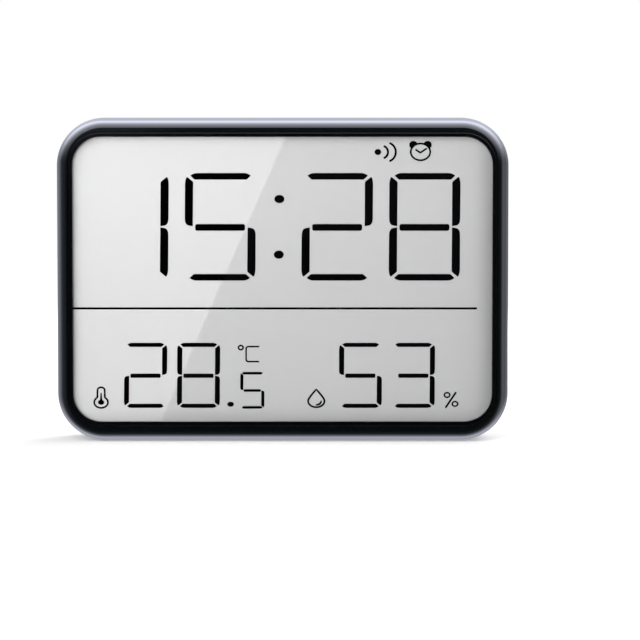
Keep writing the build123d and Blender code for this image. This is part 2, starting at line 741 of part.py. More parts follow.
with BuildPart() as case_screws:
    with BuildSketch(face_plane(screw_seat_y + case_screw_head_height)):
        with GridLocations(screw_spread_x, screw_spread_z, 2, 2):
            Circle(case_screw_head_radius)
    extrude(amount=case_screw_head_height)
    chamfer(case_screws.faces().group_by(Axis.Y)[-1].edges(), screw_edge_chamfer)
    with BuildSketch(face_plane(screw_seat_y)):
        with GridLocations(screw_spread_x, screw_spread_z, 2, 2):
            Circle(case_screw_radius)
    extrude(amount=case_screw_length)
finish(case_screws.part, "case_screws")

# Battery door: a plate with two hooks at its foot and a springy latch tongue at its head
with BuildPart() as battery_door:
    with BuildSketch(base_plane(rear_y - door_recess)):
        with Locations((0, box_z)):
            RectangleRounded(door_width, door_top_z - door_bottom_z, door_corner)
    extrude(amount=door_thickness)
    with BuildSketch(base_plane(door_seat_y)):
        with Locations((-hook_spacing / 2, hook_foot_z), (hook_spacing / 2, hook_foot_z)):
            Rectangle(hook_width, hook_root, align=(Align.CENTER, Align.MIN))
    extrude(amount=door_seat_y - hook_inner_y)
    with BuildSketch(base_plane(hook_outer_y)):
        with Locations((-hook_spacing / 2, hook_foot_z), (hook_spacing / 2, hook_foot_z)):
            Rectangle(hook_width, hook_reach + fit_gap, align=(Align.CENTER, Align.MAX))
    extrude(amount=hook_thickness)
    with BuildSketch(base_plane(rear_y - door_recess)):
        for side in (-1, 1):
            with Locations((side * (latch_width + latch_slit) / 2, door_top_z)):
                Rectangle(latch_slit, latch_length, align=(Align.CENTER, Align.MAX))
    extrude(amount=door_thickness, mode=Mode.SUBTRACT)
    with BuildSketch(base_plane(rear_y - door_recess)):
        with Locations((0, door_top_z - latch_length / 2)):
            with GridLocations(0, latch_grip_pitch, 1, latch_grip_count):
                Rectangle(latch_width - 2 * latch_slit, latch_grip_height)
    extrude(amount=latch_grip_depth, mode=Mode.SUBTRACT)
finish(battery_door.part, "battery_door")

# Kickstand: two arms and a foot bar, stub axles, and a heel above the axles that meets the
# bottom of its pocket when the stand is fully open
with BuildPart() as kickstand:
    with BuildSketch(base_plane(stand_rear_y)) as loop:
        stand_outline(loop, 0, stand_hinge_z + stand_heel)
    extrude(amount=stand_thickness)
    fillet(kickstand.faces().sort_by(Axis.Y)[-1].edges(), stand_edge_round)
    for side in (-1, 1):
        with BuildSketch(Plane.YZ.offset(side * stand_width / 2)):
            with Locations((hinge_y, stand_hinge_z)):
                Circle(axle_radius)
        extrude(amount=side * (running_gap + axle_length))
finish(kickstand.part, "kickstand")
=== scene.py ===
import bmesh
import bpy
import numpy as np
from mathutils import Matrix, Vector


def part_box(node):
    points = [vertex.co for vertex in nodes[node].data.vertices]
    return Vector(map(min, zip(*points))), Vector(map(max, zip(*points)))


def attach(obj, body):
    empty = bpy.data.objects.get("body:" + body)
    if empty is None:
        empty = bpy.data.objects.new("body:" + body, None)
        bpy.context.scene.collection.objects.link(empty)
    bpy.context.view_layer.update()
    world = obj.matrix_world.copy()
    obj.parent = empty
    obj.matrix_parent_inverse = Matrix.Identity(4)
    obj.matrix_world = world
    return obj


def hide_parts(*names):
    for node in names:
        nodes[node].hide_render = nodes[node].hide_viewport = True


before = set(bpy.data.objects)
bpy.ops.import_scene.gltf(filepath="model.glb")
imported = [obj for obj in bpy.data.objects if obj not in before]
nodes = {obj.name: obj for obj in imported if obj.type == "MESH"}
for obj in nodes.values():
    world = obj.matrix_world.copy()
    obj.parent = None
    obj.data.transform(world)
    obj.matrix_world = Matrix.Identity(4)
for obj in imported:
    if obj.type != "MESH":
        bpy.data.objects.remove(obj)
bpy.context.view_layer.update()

MM = 0.001

# Camera
# The picture is 640 by 640. Its axis meets the display below and right of its middle and
# comes down on it at a small angle. Sensor and lens are in millimetres, places in metres.
PICTURE_SIDE = 640
SENSOR = 36.0
LENS = 114.9
NEAREST_SEEN = 0.01
CAMERA_DISTANCE = 0.450
CAMERA_RISE = np.radians(2.5)
AIM = np.array([0.00825, -0.0085, 0.02685])
FORWARD = np.array([0.0, np.cos(CAMERA_RISE), -np.sin(CAMERA_RISE)])
RIGHTWARD = np.array([1.0, 0.0, 0.0])
UPWARD = np.array([0.0, np.sin(CAMERA_RISE), np.cos(CAMERA_RISE)])
EYE = AIM - CAMERA_DISTANCE * FORWARD


def on_depth(pixels, y):
    """Points where the rays of sight through pixels cross the plane at depth y. A ray runs
    forward, plus right and up by the pixel's offset from the picture's middle over the
    focal length in pixels."""
    offset = (np.asarray(pixels, float) - PICTURE_SIDE / 2) * SENSOR / (LENS * PICTURE_SIDE)
    rays = FORWARD + offset[..., 0:1] * RIGHTWARD - offset[..., 1:2] * UPWARD
    return EYE + rays * ((y - EYE[1]) / rays[..., 1:2])


def placed(right, up, back, place):
    """Matrix whose columns are the three directions and the place."""
    rows = [(right[i], up[i], back[i], place[i]) for i in range(3)]
    return Matrix(rows + [(0, 0, 0, 1)])


def in_scene(name, data):
    """New object of the data, linked to the scene."""
    obj = bpy.data.objects.new(name, data)
    bpy.context.scene.collection.objects.link(obj)
    return obj


camera = in_scene("camera", bpy.data.cameras.new("camera"))
camera.data.sensor_width = SENSOR
camera.data.lens = LENS
camera.data.clip_start = NEAREST_SEEN
camera.matrix_world = placed(RIGHTWARD, UPWARD, -FORWARD, EYE)
bpy.context.scene.camera = camera


# Surfaces
# Points closer together than the first are one, and edges shorter than the second are none
SAME_POINT = 1e-7
NO_EDGE = 1e-8
LINE_END_STEPS = 6


def unit(ways):
    """Directions, each divided by its own length."""
    return ways / np.linalg.norm(ways, axis=-1, keepdims=True)


def middle_of(name):
    """Middle of a node's box."""
    low, high = (np.array(corner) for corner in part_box(name))
    return (low + high) / 2


def shell(points, close_rows=False, close_columns=True):
    """One surface: its grid of points as a list, with four-sided faces between the
    neighbouring rows and columns."""
    rows, columns = points.shape[:2]
    row = np.arange(rows if close_rows else rows - 1)
    column = np.arange(columns if close_columns else columns - 1)
    row, column = np.meshgrid(row, column, indexing="ij")
    next_row = (row + 1) % rows
    next_column = (column + 1) % columns
    corners = [(row, column), (row, next_column), (next_row, next_column), (next_row, column)]
    faces = np.stack([r * columns + c for r, c in corners], -1)
    return points.reshape(-1, 3), faces.reshape(-1, 4)


def tidy_normals(mesh):
    """Merge points that lie on each other and turn faces outwards."""
    work = bmesh.new()
    work.from_mesh(mesh)
    bmesh.ops.remove_doubles(work, verts=work.verts, dist=SAME_POINT)
    bmesh.ops.dissolve_degenerate(work, dist=NO_EDGE, edges=work.edges)
    bmesh.ops.recalc_face_normals(work, faces=work.faces)
    work.to_mesh(mesh)
    work.free()


def mounted(name, mesh, finish, body, replaces=()):
    """Object of a mesh, which rides on its body, takes its slot's finish and may stand for
    nodes of the model."""
    obj = in_scene(name, mesh)
    mesh.materials.clear()
    mesh.materials.append(finish)
    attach(obj, body)
    if replaces:
        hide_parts(*replaces)
    return obj


def piece(name, shells, finish, body, smooth=True, replaces=()):
    """Shells joined into one object."""
    starts = np.cumsum([0] + [len(points) for points, _ in shells[:-1]])
    points = np.concatenate([points for points, _ in shells])
    faces = np.concatenate([faces + start for (_, faces), start in zip(shells, starts)])
    mesh = bpy.data.meshes.new(name)
    mesh.from_pydata(points.tolist(), [], faces.tolist())
    tidy_normals(mesh)
    mesh.polygons.foreach_set("use_smooth", np.full(len(mesh.polygons), smooth))
    return mounted(name, mesh, finish, body, replaces)


def at_depth(outline, y):
    """Flat points, across and up, stood up at depth y."""
    return np.column_stack([outline[:, 0], np.full(len(outline), y), outline[:, 1]])


def rounded(corners, rounds, steps=6):
    """Outline with soft corners: each corner becomes a parabola that touches both its
    edges at the given distance from the corner, or at half the edge if that is less."""
    corners = np.asarray(corners, float)
    rounds = np.broadcast_to(np.asarray(rounds, float), len(corners))[:, None]
    edges = [np.roll(corners, way, 0) - corners for way in (1, -1)]
    lengths = [np.linalg.norm(edge, axis=1, keepdims=True) for edge in edges]
    start, end = (corners + edge * np.minimum(rounds / length, 0.5)
                  for edge, length in zip(edges, lengths))
    t = np.linspace(0, 1, steps)[None, :, None]
    curve = (1 - t) ** 2 * start[:, None] + 2 * t * (1 - t) * corners[:, None] + t ** 2 * end[:, None]
    return curve.reshape(-1, corners.shape[1])


def plate(outline, front, back):
    """Thin plate: the outline at its back and front depths, closed by a point in the
    middle of each face. The outline is seen whole from that middle."""
    middle = np.broadcast_to(outline.mean(0), outline.shape)
    return shell(np.stack([at_depth(middle, back), at_depth(outline, back),
                           at_depth(outline, front), at_depth(middle, front)]))


def line_plate(path, widths, front, back, closed=False, round_ends=True):
    """Line as a thin plate: a four-cornered section, as wide as the line, carried along the
    path. The widths are spread evenly along it. An open line ends in half circles: beyond
    its last point the half width is the root of the radius squared less the distance
    squared."""
    path = np.asarray(path, float)
    widths = np.atleast_1d(widths)
    half = np.interp(np.linspace(0, 1, len(path)), np.linspace(0, 1, len(widths)), widths / 2)
    if closed:
        along = np.roll(path, -1, 0) - np.roll(path, 1, 0)
    else:
        if round_ends:
            turn = np.linspace(np.pi / 2, 0, LINE_END_STEPS)[:-1, None]
            head = path[0] + half[0] * np.sin(turn) * unit(path[0] - path[1])
            tail = path[-1] + half[-1] * np.sin(turn[::-1]) * unit(path[-1] - path[-2])
            path = np.concatenate([head, path, tail])
            narrow = np.cos(turn[:, 0])
            half = np.concatenate([half[0] * narrow, half, half[-1] * narrow[::-1]])
        along = np.gradient(path, axis=0)
    along = unit(along)
    side = np.column_stack([-along[:, 1], along[:, 0]]) * half[:, None]
    section = [at_depth(path + side, back), at_depth(path + side, front),
               at_depth(path - side, front), at_depth(path - side, back)]
    return shell(np.stack(section, 1), close_rows=closed)


def tube(path, radius, outward, sides=12):
    """Round wire: circles about the points of the path, spanned by the outward direction
    and its cross product with the path's own, with a point at each end."""
    along = unit(np.gradient(path, axis=0))
    outward = unit(outward - (outward * along).sum(1, keepdims=True) * along)
    across = np.cross(along, outward)[:, None]
    turn = np.linspace(0, 2 * np.pi, sides, endpoint=False)[None, :, None]
    rings = path[:, None] + radius * (np.cos(turn) * outward[:, None] + np.sin(turn) * across)
    first, last = (np.repeat(path[i][None, None], sides, 1) for i in (0, -1))
    return shell(np.concatenate([first, rings, last]))


def ellipse(middle, size, turns=(0, 360), steps=40):
    """Points round an ellipse, or along the part of it between two angles in degrees."""
    whole = turns[1] - turns[0] == 360
    turn = np.radians(np.linspace(*turns, steps, endpoint=not whole))
    return np.column_stack([middle[0] + size[0] * np.cos(turn), middle[1] + size[1] * np.sin(turn)])


def bow(first, middle, last, steps=20):
    """Parabola through three points."""
    first, middle, last = (np.asarray(point, float) for point in (first, middle, last))
    control = 2 * middle - (first + last) / 2
    t = np.linspace(0, 1, steps)[:, None]
    return (1 - t) ** 2 * first + 2 * t * (1 - t) * control + t ** 2 * last


# Finishes
def linear(code):
    """Linear colour from an sRGB hex value."""
    value = np.array([int(code[i:i + 2], 16) for i in (1, 3, 5)]) / 255
    value = np.where(value <= 0.04045, value / 12.92, ((value + 0.055) / 1.055) ** 2.4)
    return (*value, 1.0)


def add(tree, kind, inputs=None, **settings):
    """Outputs of a new node with its settings, its inputs set or linked. A colour is a hex
    value."""
    node = tree.nodes.new(kind)
    for name, value in settings.items():
        setattr(node, name, value)
    for name, value in (inputs or {}).items():
        if isinstance(value, bpy.types.NodeSocket):
            tree.links.new(value, node.inputs[name])
        else:
            node.inputs[name].default_value = linear(value) if isinstance(value, str) else value
    return node.outputs


def blank(name):
    """Empty material: itself, its tree and the place on the object."""
    material = bpy.data.materials.new(name)
    material.use_nodes = True
    material.node_tree.nodes.clear()
    place = add(material.node_tree, "ShaderNodeTexCoord")["Object"]
    return material, material.node_tree, place


def finished(material, inputs, last=None):
    """Material with its surface: a principled shader with these inputs, which the function
    last may mix with others."""
    tree = material.node_tree
    surface = add(tree, "ShaderNodeBsdfPrincipled", inputs)[0]
    if last:
        surface = last(tree, surface)
    add(tree, "ShaderNodeOutputMaterial", {"Surface": surface})
    return material


# Part of a noise's range that is drawn out to the whole, so that both ends are reached
NOISE_LOW = 0.35
NOISE_HIGH = 0.65


def uneven(tree, place, size_mm, low, high, detail=4.0):
    """Number that drifts between two in lumps of about size_mm."""
    lumps = add(tree, "ShaderNodeTexNoise",
                {"Vector": place, "Scale": 1 / (size_mm * MM), "Detail": detail})["Fac"]
    return add(tree, "ShaderNodeMapRange",
               {0: lumps, 1: NOISE_LOW, 2: NOISE_HIGH, 3: low, 4: high})[0]


def cloudy(tree, place, size_mm, first, second):
    """Colour that drifts between two in lumps of about size_mm."""
    share = uneven(tree, place, size_mm, 0.0, 1.0, detail=3.0)
    return add(tree, "ShaderNodeMix", {0: share, 6: first, 7: second}, data_type="RGBA")[2]


def pebbled(tree, place, size_mm, depth_mm, detail=2.0):
    """Normal of a surface with a grain of about size_mm and a depth."""
    grain = add(tree, "ShaderNodeTexNoise",
                {"Vector": place, "Scale": 1 / (size_mm * MM), "Detail": detail})["Fac"]
    return add(tree, "ShaderNodeBump", {"Height": grain, "Distance": depth_mm * MM})["Normal"]


def by_place(tree, value, stops):
    """Broken line through stops, each a place on the scale of value and the number there.
    The line is drawn as shares of its highest number, which is multiplied back."""
    places, numbers = np.array(stops, float).T
    highest = numbers.max()
    share = add(tree, "ShaderNodeMapRange", {0: value, 1: places[0], 2: places[-1]})[0]
    line = add(tree, "ShaderNodeValToRGB", {"Fac": share})
    marks = line["Color"].node.color_ramp.elements
    while len(marks) < len(places):
        marks.new(0.5)
    for mark, at, number in zip(marks, (places - places[0]) / np.ptp(places), numbers / highest):
        mark.position = at
        mark.color = (number, number, number, 1.0)
    return add(tree, "ShaderNodeMath", {0: line["Color"], 1: highest}, operation="MULTIPLY")[0]


def mottled(name, colour, roughness, relief=(), **others):
    """Material whose colour and roughness drift, each in lumps of a size in millimetres and
    between two ends, with a relief of a grain's size and depth in millimetres and maybe its
    detail. The shader's other inputs are named with an underscore for each space."""
    material, tree, place = blank(name)
    inputs = {"Base Color": cloudy(tree, place, *colour),
              "Roughness": uneven(tree, place, *roughness)}
    if relief:
        inputs["Normal"] = pebbled(tree, place, *relief)
    for key, value in others.items():
        inputs[key.replace("_", " ")] = value
    return finished(material, inputs)


# Black ABS under a clear lacquer: deep and mirror-like, with a trace of orange peel and of
# handling, which dulls it in patches
ABS_INDEX = 1.54
lacquered_abs = mottled(
    "abs_lacquered_black", colour=(14.0, "#040707", "#050909"), roughness=(6.0, 0.035, 0.07),
    relief=(5.0, 0.0006, 1.0), IOR=ABS_INDEX, Coat_Weight=1.0, Coat_Roughness=0.02,
    Coat_IOR=ABS_INDEX)

# Lumps of the worn colour and of the gloss, in millimetres, and the gloss's spread
HANDLED_LUMPS = 5.0
GLOSS_LUMPS = 2.5
HANDLED_GLOSS = 0.04


def moulded_abs(name, colour, worn, roughness, grain_mm, depth_mm):
    """ABS from a spark-eroded tool: an even pebbled grain, which takes the light as a fine
    speckle, and a little cloudiness in colour and gloss from handling. The real grain is
    about 0.1 mm wide, and is drawn coarser so that it shows."""
    ends = (roughness - HANDLED_GLOSS, roughness + HANDLED_GLOSS)
    return mottled(name, colour=(HANDLED_LUMPS, colour, worn), roughness=(GLOSS_LUMPS, *ends),
                   relief=(grain_mm, depth_mm), IOR=ABS_INDEX)


cover_abs = moulded_abs("abs_textured_black", "#19191A", "#1D1E1E", 0.52, 0.42, 0.130)
door_abs = moulded_abs("abs_textured_black_door", "#18181A", "#1C1C1D", 0.50, 0.42, 0.120)
stand_abs = moulded_abs("abs_satin_black_stand", "#161718", "#1B1B1C", 0.38, 0.45, 0.060)
inner_abs = moulded_abs("abs_inner_black", "#1E1F20", "#28292A", 0.45, 0.50, 0.040)
sensor_abs = moulded_abs("abs_white_housing", "#E4E3DC", "#D3D2CA", 0.45, 0.50, 0.020)

# Nylon of the key plungers: milky white, waxy, with a soft flow pattern
nylon = mottled(
    "nylon_moulded_white", colour=(3.0, "#D8D7D0", "#C9C8C0"), roughness=(1.5, 0.36, 0.5),
    relief=(0.8, 0.004), IOR=1.53)

# Silicone rubber keys: satin and soft, with a dusting that dulls the tops
silicone = mottled(
    "silicone_moulded_black", colour=(3.0, "#202124", "#2A2B2E"), roughness=(1.2, 0.44, 0.62),
    relief=(0.35, 0.050), IOR=1.43)


def let_light_pass(tree, surface):
    """Let lamps and scattered light straight through, so that what lies behind is lit."""
    path = add(tree, "ShaderNodeLightPath")
    passing = add(tree, "ShaderNodeMath", {0: path["Is Shadow Ray"], 1: path["Is Diffuse Ray"]},
                  operation="MAXIMUM")[0]
    clear = add(tree, "ShaderNodeBsdfTransparent", {"Color": "#FAFAFA"})[0]
    return add(tree, "ShaderNodeMixShader", {0: passing, 1: surface, 2: clear})[0]


# Cast acrylic pane, polished: clear, a mirror at each of its faces
PANE_INDEX = 1.49
pane_acrylic, tree, place = blank("pmma_cast_clear")
finished(pane_acrylic, {
    "Base Color": "#FFFFFF",
    "Roughness": uneven(tree, place, 7.0, 0.0, 0.003),
    "IOR": PANE_INDEX,
    "Transmission Weight": 1.0,
}, let_light_pass)

# Edge of the pane, painted black so that it doesn't glow: glossy, faintly brushed
edge_paint = mottled(
    "acrylic_paint_black_edge", colour=(2.0, "#040505", "#070808"),
    roughness=(1.5, 0.05, 0.11), IOR=1.49)

# Face of the display: silver film behind a matt polarizer, even and cool, with a grain
# finer than a segment is wide. Its colour holds painted shade: darker towards its left, right
# and lower edges, where the frame's shadow falls, and a little darker lower down than at the
# top, where the lamp's light falls off: tones by millimetres across and by millimetres up
FILM_SHADE_ACROSS = [(-46.2, 0.93), (-45.5, 0.95), (-44.8, 1.0), (38.0, 1.0), (41.5, 0.98),
               (43.0, 0.93), (44.5, 0.79), (46.2, 0.62)]
FILM_SHADE_UP = [(4.4, 0.79), (5.6, 0.87), (7.0, 0.955), (31.0, 0.95), (60.0, 1.0), (67.1, 1.0)]
film_silver, tree, place = blank("polarizer_film_silver")
in_mm = add(tree, "ShaderNodeVectorMath", {0: place, "Scale": 1 / MM}, operation="SCALE")[0]
parts = add(tree, "ShaderNodeSeparateXYZ", {"Vector": in_mm})
# Painted shade: the film's colour is multiplied down towards its edges and lower down
painted_shade = add(tree, "ShaderNodeMath", {0: by_place(tree, parts["X"], FILM_SHADE_ACROSS),
                                    1: by_place(tree, parts["Z"], FILM_SHADE_UP)},
           operation="MULTIPLY")[0]
speckle = cloudy(tree, place, 0.35, "#CDCDCD", "#D1D1D1")
finished(film_silver, {
    "Base Color": add(tree, "ShaderNodeMix", {0: 1.0, 6: speckle, 7: painted_shade}, data_type="RGBA",
                      blend_type="MULTIPLY")[2],
    "Roughness": uneven(tree, place, 0.35, 0.36, 0.48),
    "Normal": pebbled(tree, place, 0.35, 0.002, detail=3.0),
    "IOR": 1.5,
    "Coat Weight": 1.0,
    "Coat Roughness": 0.003,
})

# Switched-on liquid crystal: black, dull under the polarizer
crystal_black = mottled(
    "liquid_crystal_black", colour=(0.4, "#010101", "#020202"), roughness=(0.5, 0.5, 0.65),
    IOR=1.5, Specular_IOR_Level=0.0)

# Float glass of the display: greenish at its edges, clear
float_glass = mottled(
    "glass_float", colour=(20.0, "#D8E6DF", "#E2EDE8"), roughness=(8.0, 0.01, 0.04), IOR=1.52,
    Transmission_Weight=0.9)

# Reflecting film: aluminium flake on polyester, silky with a fine grain
mirror_film = mottled(
    "polyester_aluminised_film", colour=(1.0, "#B2B4B4", "#C1C3C3"),
    roughness=(0.3, 0.28, 0.45), Metallic=0.85)

# Black adhesive tape: smooth, seen through the pane as its black border
tape_acrylic = mottled(
    "acrylic_tape_black", colour=(0.8, "#040505", "#070808"), roughness=(0.6, 0.3, 0.42),
    IOR=1.48)

# Closed-cell foam ring: dull, its cut faces full of pores, whose pits are painted darker as shade
PORE = 0.25 * MM
PORE_DEPTH = 0.03 * MM
foam, tree, place = blank("polyurethane_foam_black")
pores = add(tree, "ShaderNodeTexVoronoi", {"Vector": place, "Scale": 1 / PORE})["Distance"]
finished(foam, {
    # Painted shade: the colour is darker in the pores' pits, where the bump is lowest
    "Base Color": add(tree, "ShaderNodeMix", {0: pores, 6: "#070707", 7: "#101011"},
                      data_type="RGBA")[2],
    "Normal": add(tree, "ShaderNodeBump", {"Height": pores, "Distance": PORE_DEPTH})["Normal"],
    "Roughness": 0.9,
    "IOR": 1.45,
})

# A wave texture repeats every two pi twentieths of a metre over its scale
ONE_WAVE = 2 * np.pi / 20

# Conductive strip: silicone with fine carbon layers, five to a millimetre
CARBON_LAYER = 0.2 * MM
zebra, tree, place = blank("silicone_carbon_layered")
layers = add(tree, "ShaderNodeTexWave", {"Vector": place, "Scale": ONE_WAVE / CARBON_LAYER},
             bands_direction="X")["Fac"]
finished(zebra, {
    "Base Color": add(tree, "ShaderNodeMix", {0: layers, 6: "#9A5046", 7: "#2A2422"},
                      data_type="RGBA")[2],
    "Roughness": uneven(tree, place, 0.5, 0.52, 0.68),
    "IOR": 1.43,
})

# Glass-fibre board under green solder mask: copper runs shine through as lighter lines a
# fifth of a millimetre wide, the weave of half a millimetre as a faint relief. The runs
# are the joints of a brick pattern, whose width and offset are shares of its unit.
RUN_UNIT = 18 * MM
RUN_WIDTH = 0.012
RUN_OFFSET = 0.37
WEAVE = 0.5 * MM
WEAVE_DEPTH = 0.004 * MM
board, tree, place = blank("glass_fibre_green_mask")
upright = add(tree, "ShaderNodeMapping", {"Vector": place, "Rotation": (np.pi / 2, 0, 0)})[0]
runs = add(tree, "ShaderNodeTexBrick",
           {"Vector": upright, "Scale": 1 / RUN_UNIT, "Mortar Size": RUN_WIDTH, "Color1": "#000000",
            "Color2": "#000000", "Mortar": "#FFFFFF"}, offset=RUN_OFFSET)["Color"]
weave = add(tree, "ShaderNodeTexWave",
            {"Vector": place, "Scale": ONE_WAVE / WEAVE, "Distortion": 0.5},
            bands_direction="DIAGONAL")["Fac"]
finished(board, {
    "Base Color": add(tree, "ShaderNodeMix", {0: runs, 6: "#17502D", 7: "#3A8A50"},
                      data_type="RGBA")[2],
    "Roughness": uneven(tree, place, 2.0, 0.25, 0.38),
    "Normal": add(tree, "ShaderNodeBump", {"Height": weave, "Distance": WEAVE_DEPTH})["Normal"],
    "IOR": 1.55,
    "Coat Weight": 0.3,
})

# Zinc-plated steel: bright, bluish, lightly scratched
zinc = mottled(
    "steel_zinc_plated", colour=(1.5, "#A9ADB1", "#BDBFC0"), roughness=(0.4, 0.24, 0.44),
    relief=(0.15, 0.002), Metallic=1.0)

# Black-plated steel screws: dark metal with a silky gloss, paler where a driver touched
black_steel = mottled(
    "steel_black_plated", colour=(0.5, "#393A3C", "#5A5B5E"), roughness=(0.35, 0.26, 0.44),
    relief=(0.12, 0.003), Metallic=1.0)

# Nickel-plated spring steel: warm bright metal, rolled, with streaks along its height
STREAK_SQUEEZE = (1.0, 1.0, 0.08)
nickel, tree, place = blank("spring_steel_nickel_plated")
streaks = add(tree, "ShaderNodeMapping", {"Vector": place, "Scale": STREAK_SQUEEZE})[0]
finished(nickel, {
    "Base Color": cloudy(tree, place, 2.0, "#BDB7AB", "#CEC9BE"),
    "Roughness": uneven(tree, streaks, 0.15, 0.18, 0.36),
    "Metallic": 1.0,
})

# Drop of epoxy over the chip: black, domed, smooth but for a soft ripple
epoxy = mottled(
    "epoxy_cast_black", colour=(2.0, "#09090A", "#111112"), roughness=(1.5, 0.16, 0.32),
    relief=(2.5, 0.04, 1.0), IOR=1.55)

# Inks of the signs: matt, a little thin in places
red_ink = mottled(
    "printing_ink_red", colour=(0.3, "#9E3630", "#AB403A"), roughness=(0.3, 0.4, 0.55),
    IOR=1.5)
grey_ink = mottled(
    "printing_ink_grey", colour=(0.4, "#8C8E90", "#A0A2A3"), roughness=(0.4, 0.45, 0.6),
    IOR=1.5)

# Places on a cell's jacket, off its axis and along it from its middle
CAN_END_RADIUS = 4.40 * MM
CAN_END_BLUR = 0.05 * MM
JACKET_BAND_AT = 10.0 * MM
JACKET_BAND_BLUR = 0.1 * MM


def printed_jacket(name, nub_side):
    """Film printed round a steel can: pale grey with a dark band at the nub's end, folded a
    little over the rims, with the bare steel ends inside. What lies nearer to the cell's
    axis than the ends' radius is steel, and beyond the band's place the film is dark."""
    material, tree, place = blank(f"polyester_jacket_{name}")
    to_axis = tuple(middle_of(f"{name}_battery") * (0, -1, -1))
    centred = add(tree, "ShaderNodeMapping", {"Vector": place, "Location": to_axis})[0]
    parts = add(tree, "ShaderNodeSeparateXYZ", {"Vector": centred})
    radial = add(tree, "ShaderNodeCombineXYZ", {"Y": parts["Y"], "Z": parts["Z"]})[0]
    off_axis = add(tree, "ShaderNodeVectorMath", {0: radial}, operation="LENGTH")["Value"]
    bare = add(tree, "ShaderNodeMapRange",
               {0: off_axis, 1: CAN_END_RADIUS + CAN_END_BLUR, 2: CAN_END_RADIUS})[0]
    banded = add(tree, "ShaderNodeMapRange",
                 {0: parts["X"], 1: nub_side * JACKET_BAND_AT,
                  2: nub_side * (JACKET_BAND_AT + JACKET_BAND_BLUR)})[0]
    film = add(tree, "ShaderNodeMix",
               {0: banded, 6: cloudy(tree, place, 3.0, "#B6BABE", "#BEC2C5"), 7: "#2C3844"},
               data_type="RGBA")[2]
    return finished(material, {
        "Base Color": add(tree, "ShaderNodeMix", {0: bare, 6: film, 7: "#C3C4C4"},
                          data_type="RGBA")[2],
        "Roughness": uneven(tree, place, 0.8, 0.22, 0.36),
        "Metallic": bare,
        "IOR": 1.55,
    })


finishes = {
    "front_bezel": lacquered_abs, "rear_cover": cover_abs, "battery_door": door_abs,
    "kickstand": stand_abs, "front_lens": pane_acrylic, "lens_tape": tape_acrylic,
    "display_gasket": foam, "front_polarizer": film_silver, "display_front_glass": float_glass,
    "display_rear_glass": float_glass, "reflector_film": mirror_film, "display_frame": inner_abs,
    "zebra_strip": zebra, "circuit_board": board, "board_screws": zinc, "case_screws": black_steel,
    "controller_chip": epoxy, "quartz_crystal": zinc, "buzzer": inner_abs, "key_switches": inner_abs,
    "climate_sensor": sensor_abs, "negative_contact": nickel, "positive_contact": nickel,
    "series_contact": nickel, "upper_battery": printed_jacket("upper", 1),
    "lower_battery": printed_jacket("lower", -1),
}
for key in ("mode", "set", "up", "down"):
    finishes[f"{key}_button"] = silicone
    finishes[f"{key}_plunger"] = nylon
for name, finish in finishes.items():
    nodes[name].data.materials.clear()
    nodes[name].data.materials.append(finish)

# What the display shows
# It is drawn in picture pixels and carried along the rays of sight to the front of the
# polarizer, as thin plates. The pane lifts them towards the eye by its thickness less that
# over its index.
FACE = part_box("front_polarizer")[0].y
MARK_THICKNESS = 0.03 * MM
MARK_FRONT = FACE - MARK_THICKNESS
PANE_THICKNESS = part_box("front_lens")[1].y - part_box("front_lens")[0].y
SEEN_DEPTH = MARK_FRONT - PANE_THICKNESS * (1 - 1 / PANE_INDEX)
PIXEL = np.linalg.norm(on_depth((1, 0), MARK_FRONT) - on_depth((0, 0), MARK_FRONT))

# A digit 71 wide and 107 high about its own middle, up positive. Its right and left
# uprights and its upper and lower halves mirror each other. With each outline goes how its
# points move where the digit is drawn thicker.
BAR = [(-30.4, 51.2), (-26.0, 53.8), (26.0, 53.8), (30.4, 51.2), (26.0, 47.2), (-26.0, 47.2)]
BAR_ROUNDS = [0.5, 3.2, 3.2, 0.5, 0.7, 0.7]
BAR_GROWS = [(-1.0, 0.2), (-0.5, 0.6), (0.5, 0.6), (1.0, 0.2), (0.5, -0.5), (-0.5, -0.5)]
MIDDLE = [(-25.1, 2.8), (24.9, 2.8), (24.9, -4.0), (-25.1, -4.0)]
MIDDLE_ROUND = 2.4
MIDDLE_GROWS = [(-0.5, 0.5), (0.2, 0.5), (0.2, -0.5), (-0.5, -0.5)]
UPRIGHT = [(27.3, 44.9), (33.9, 50.3), (35.6, 45.2), (35.5, 1.9), (27.4, 0.6)]
UPRIGHT_ROUNDS = [0.7, 1.5, 3.0, 6.6, 0.6]
UPRIGHT_GROWS = [(-0.7, 0.0), (0.1, 0.3), (0.3, 0.2), (0.3, 0.0), (-0.7, 0.0)]
LEAN = 0.0075
DIGIT_SEGMENTS = {"1": "bc", "2": "abged", "3": "abgcd", "5": "afgcd", "8": "abcdefg"}


def segment(letter, thicker):
    """Outline of one segment of a digit, lettered clockwise from the top, the middle one
    last. Left and lower ones are right and upper ones mirrored."""
    if letter == "g":
        return rounded(np.array(MIDDLE) + thicker * np.array(MIDDLE_GROWS), MIDDLE_ROUND)
    if letter in "ad":
        shape = rounded(np.array(BAR) + thicker * np.array(BAR_GROWS), BAR_ROUNDS)
    else:
        shape = rounded(np.array(UPRIGHT) + thicker * np.array(UPRIGHT_GROWS), UPRIGHT_ROUNDS)
    mirror = (-1 if letter in "ef" else 1, -1 if letter in "cde" else 1)
    return shape * mirror


def filled(outline):
    """Plate of an outline in picture pixels."""
    return plate(on_depth(outline, SEEN_DEPTH)[:, [0, 2]], MARK_FRONT, FACE)


def drawn(path, width, **how):
    """Line in picture pixels, of one width or several along it."""
    flat = on_depth(path, SEEN_DEPTH)[:, [0, 2]]
    return line_plate(flat, np.array(width) * PIXEL, MARK_FRONT, FACE, **how)


def digit(value, middle, size, thicker=0.0):
    """Plates of a digit: each lit segment leaned, scaled and moved to the middle."""
    plates = []
    for letter in DIGIT_SEGMENTS[value]:
        shape = segment(letter, thicker)
        leaned = np.column_stack([shape[:, 0] + LEAN * shape[:, 1], -shape[:, 1]])
        plates.append(filled(leaned * size + middle))
    return plates


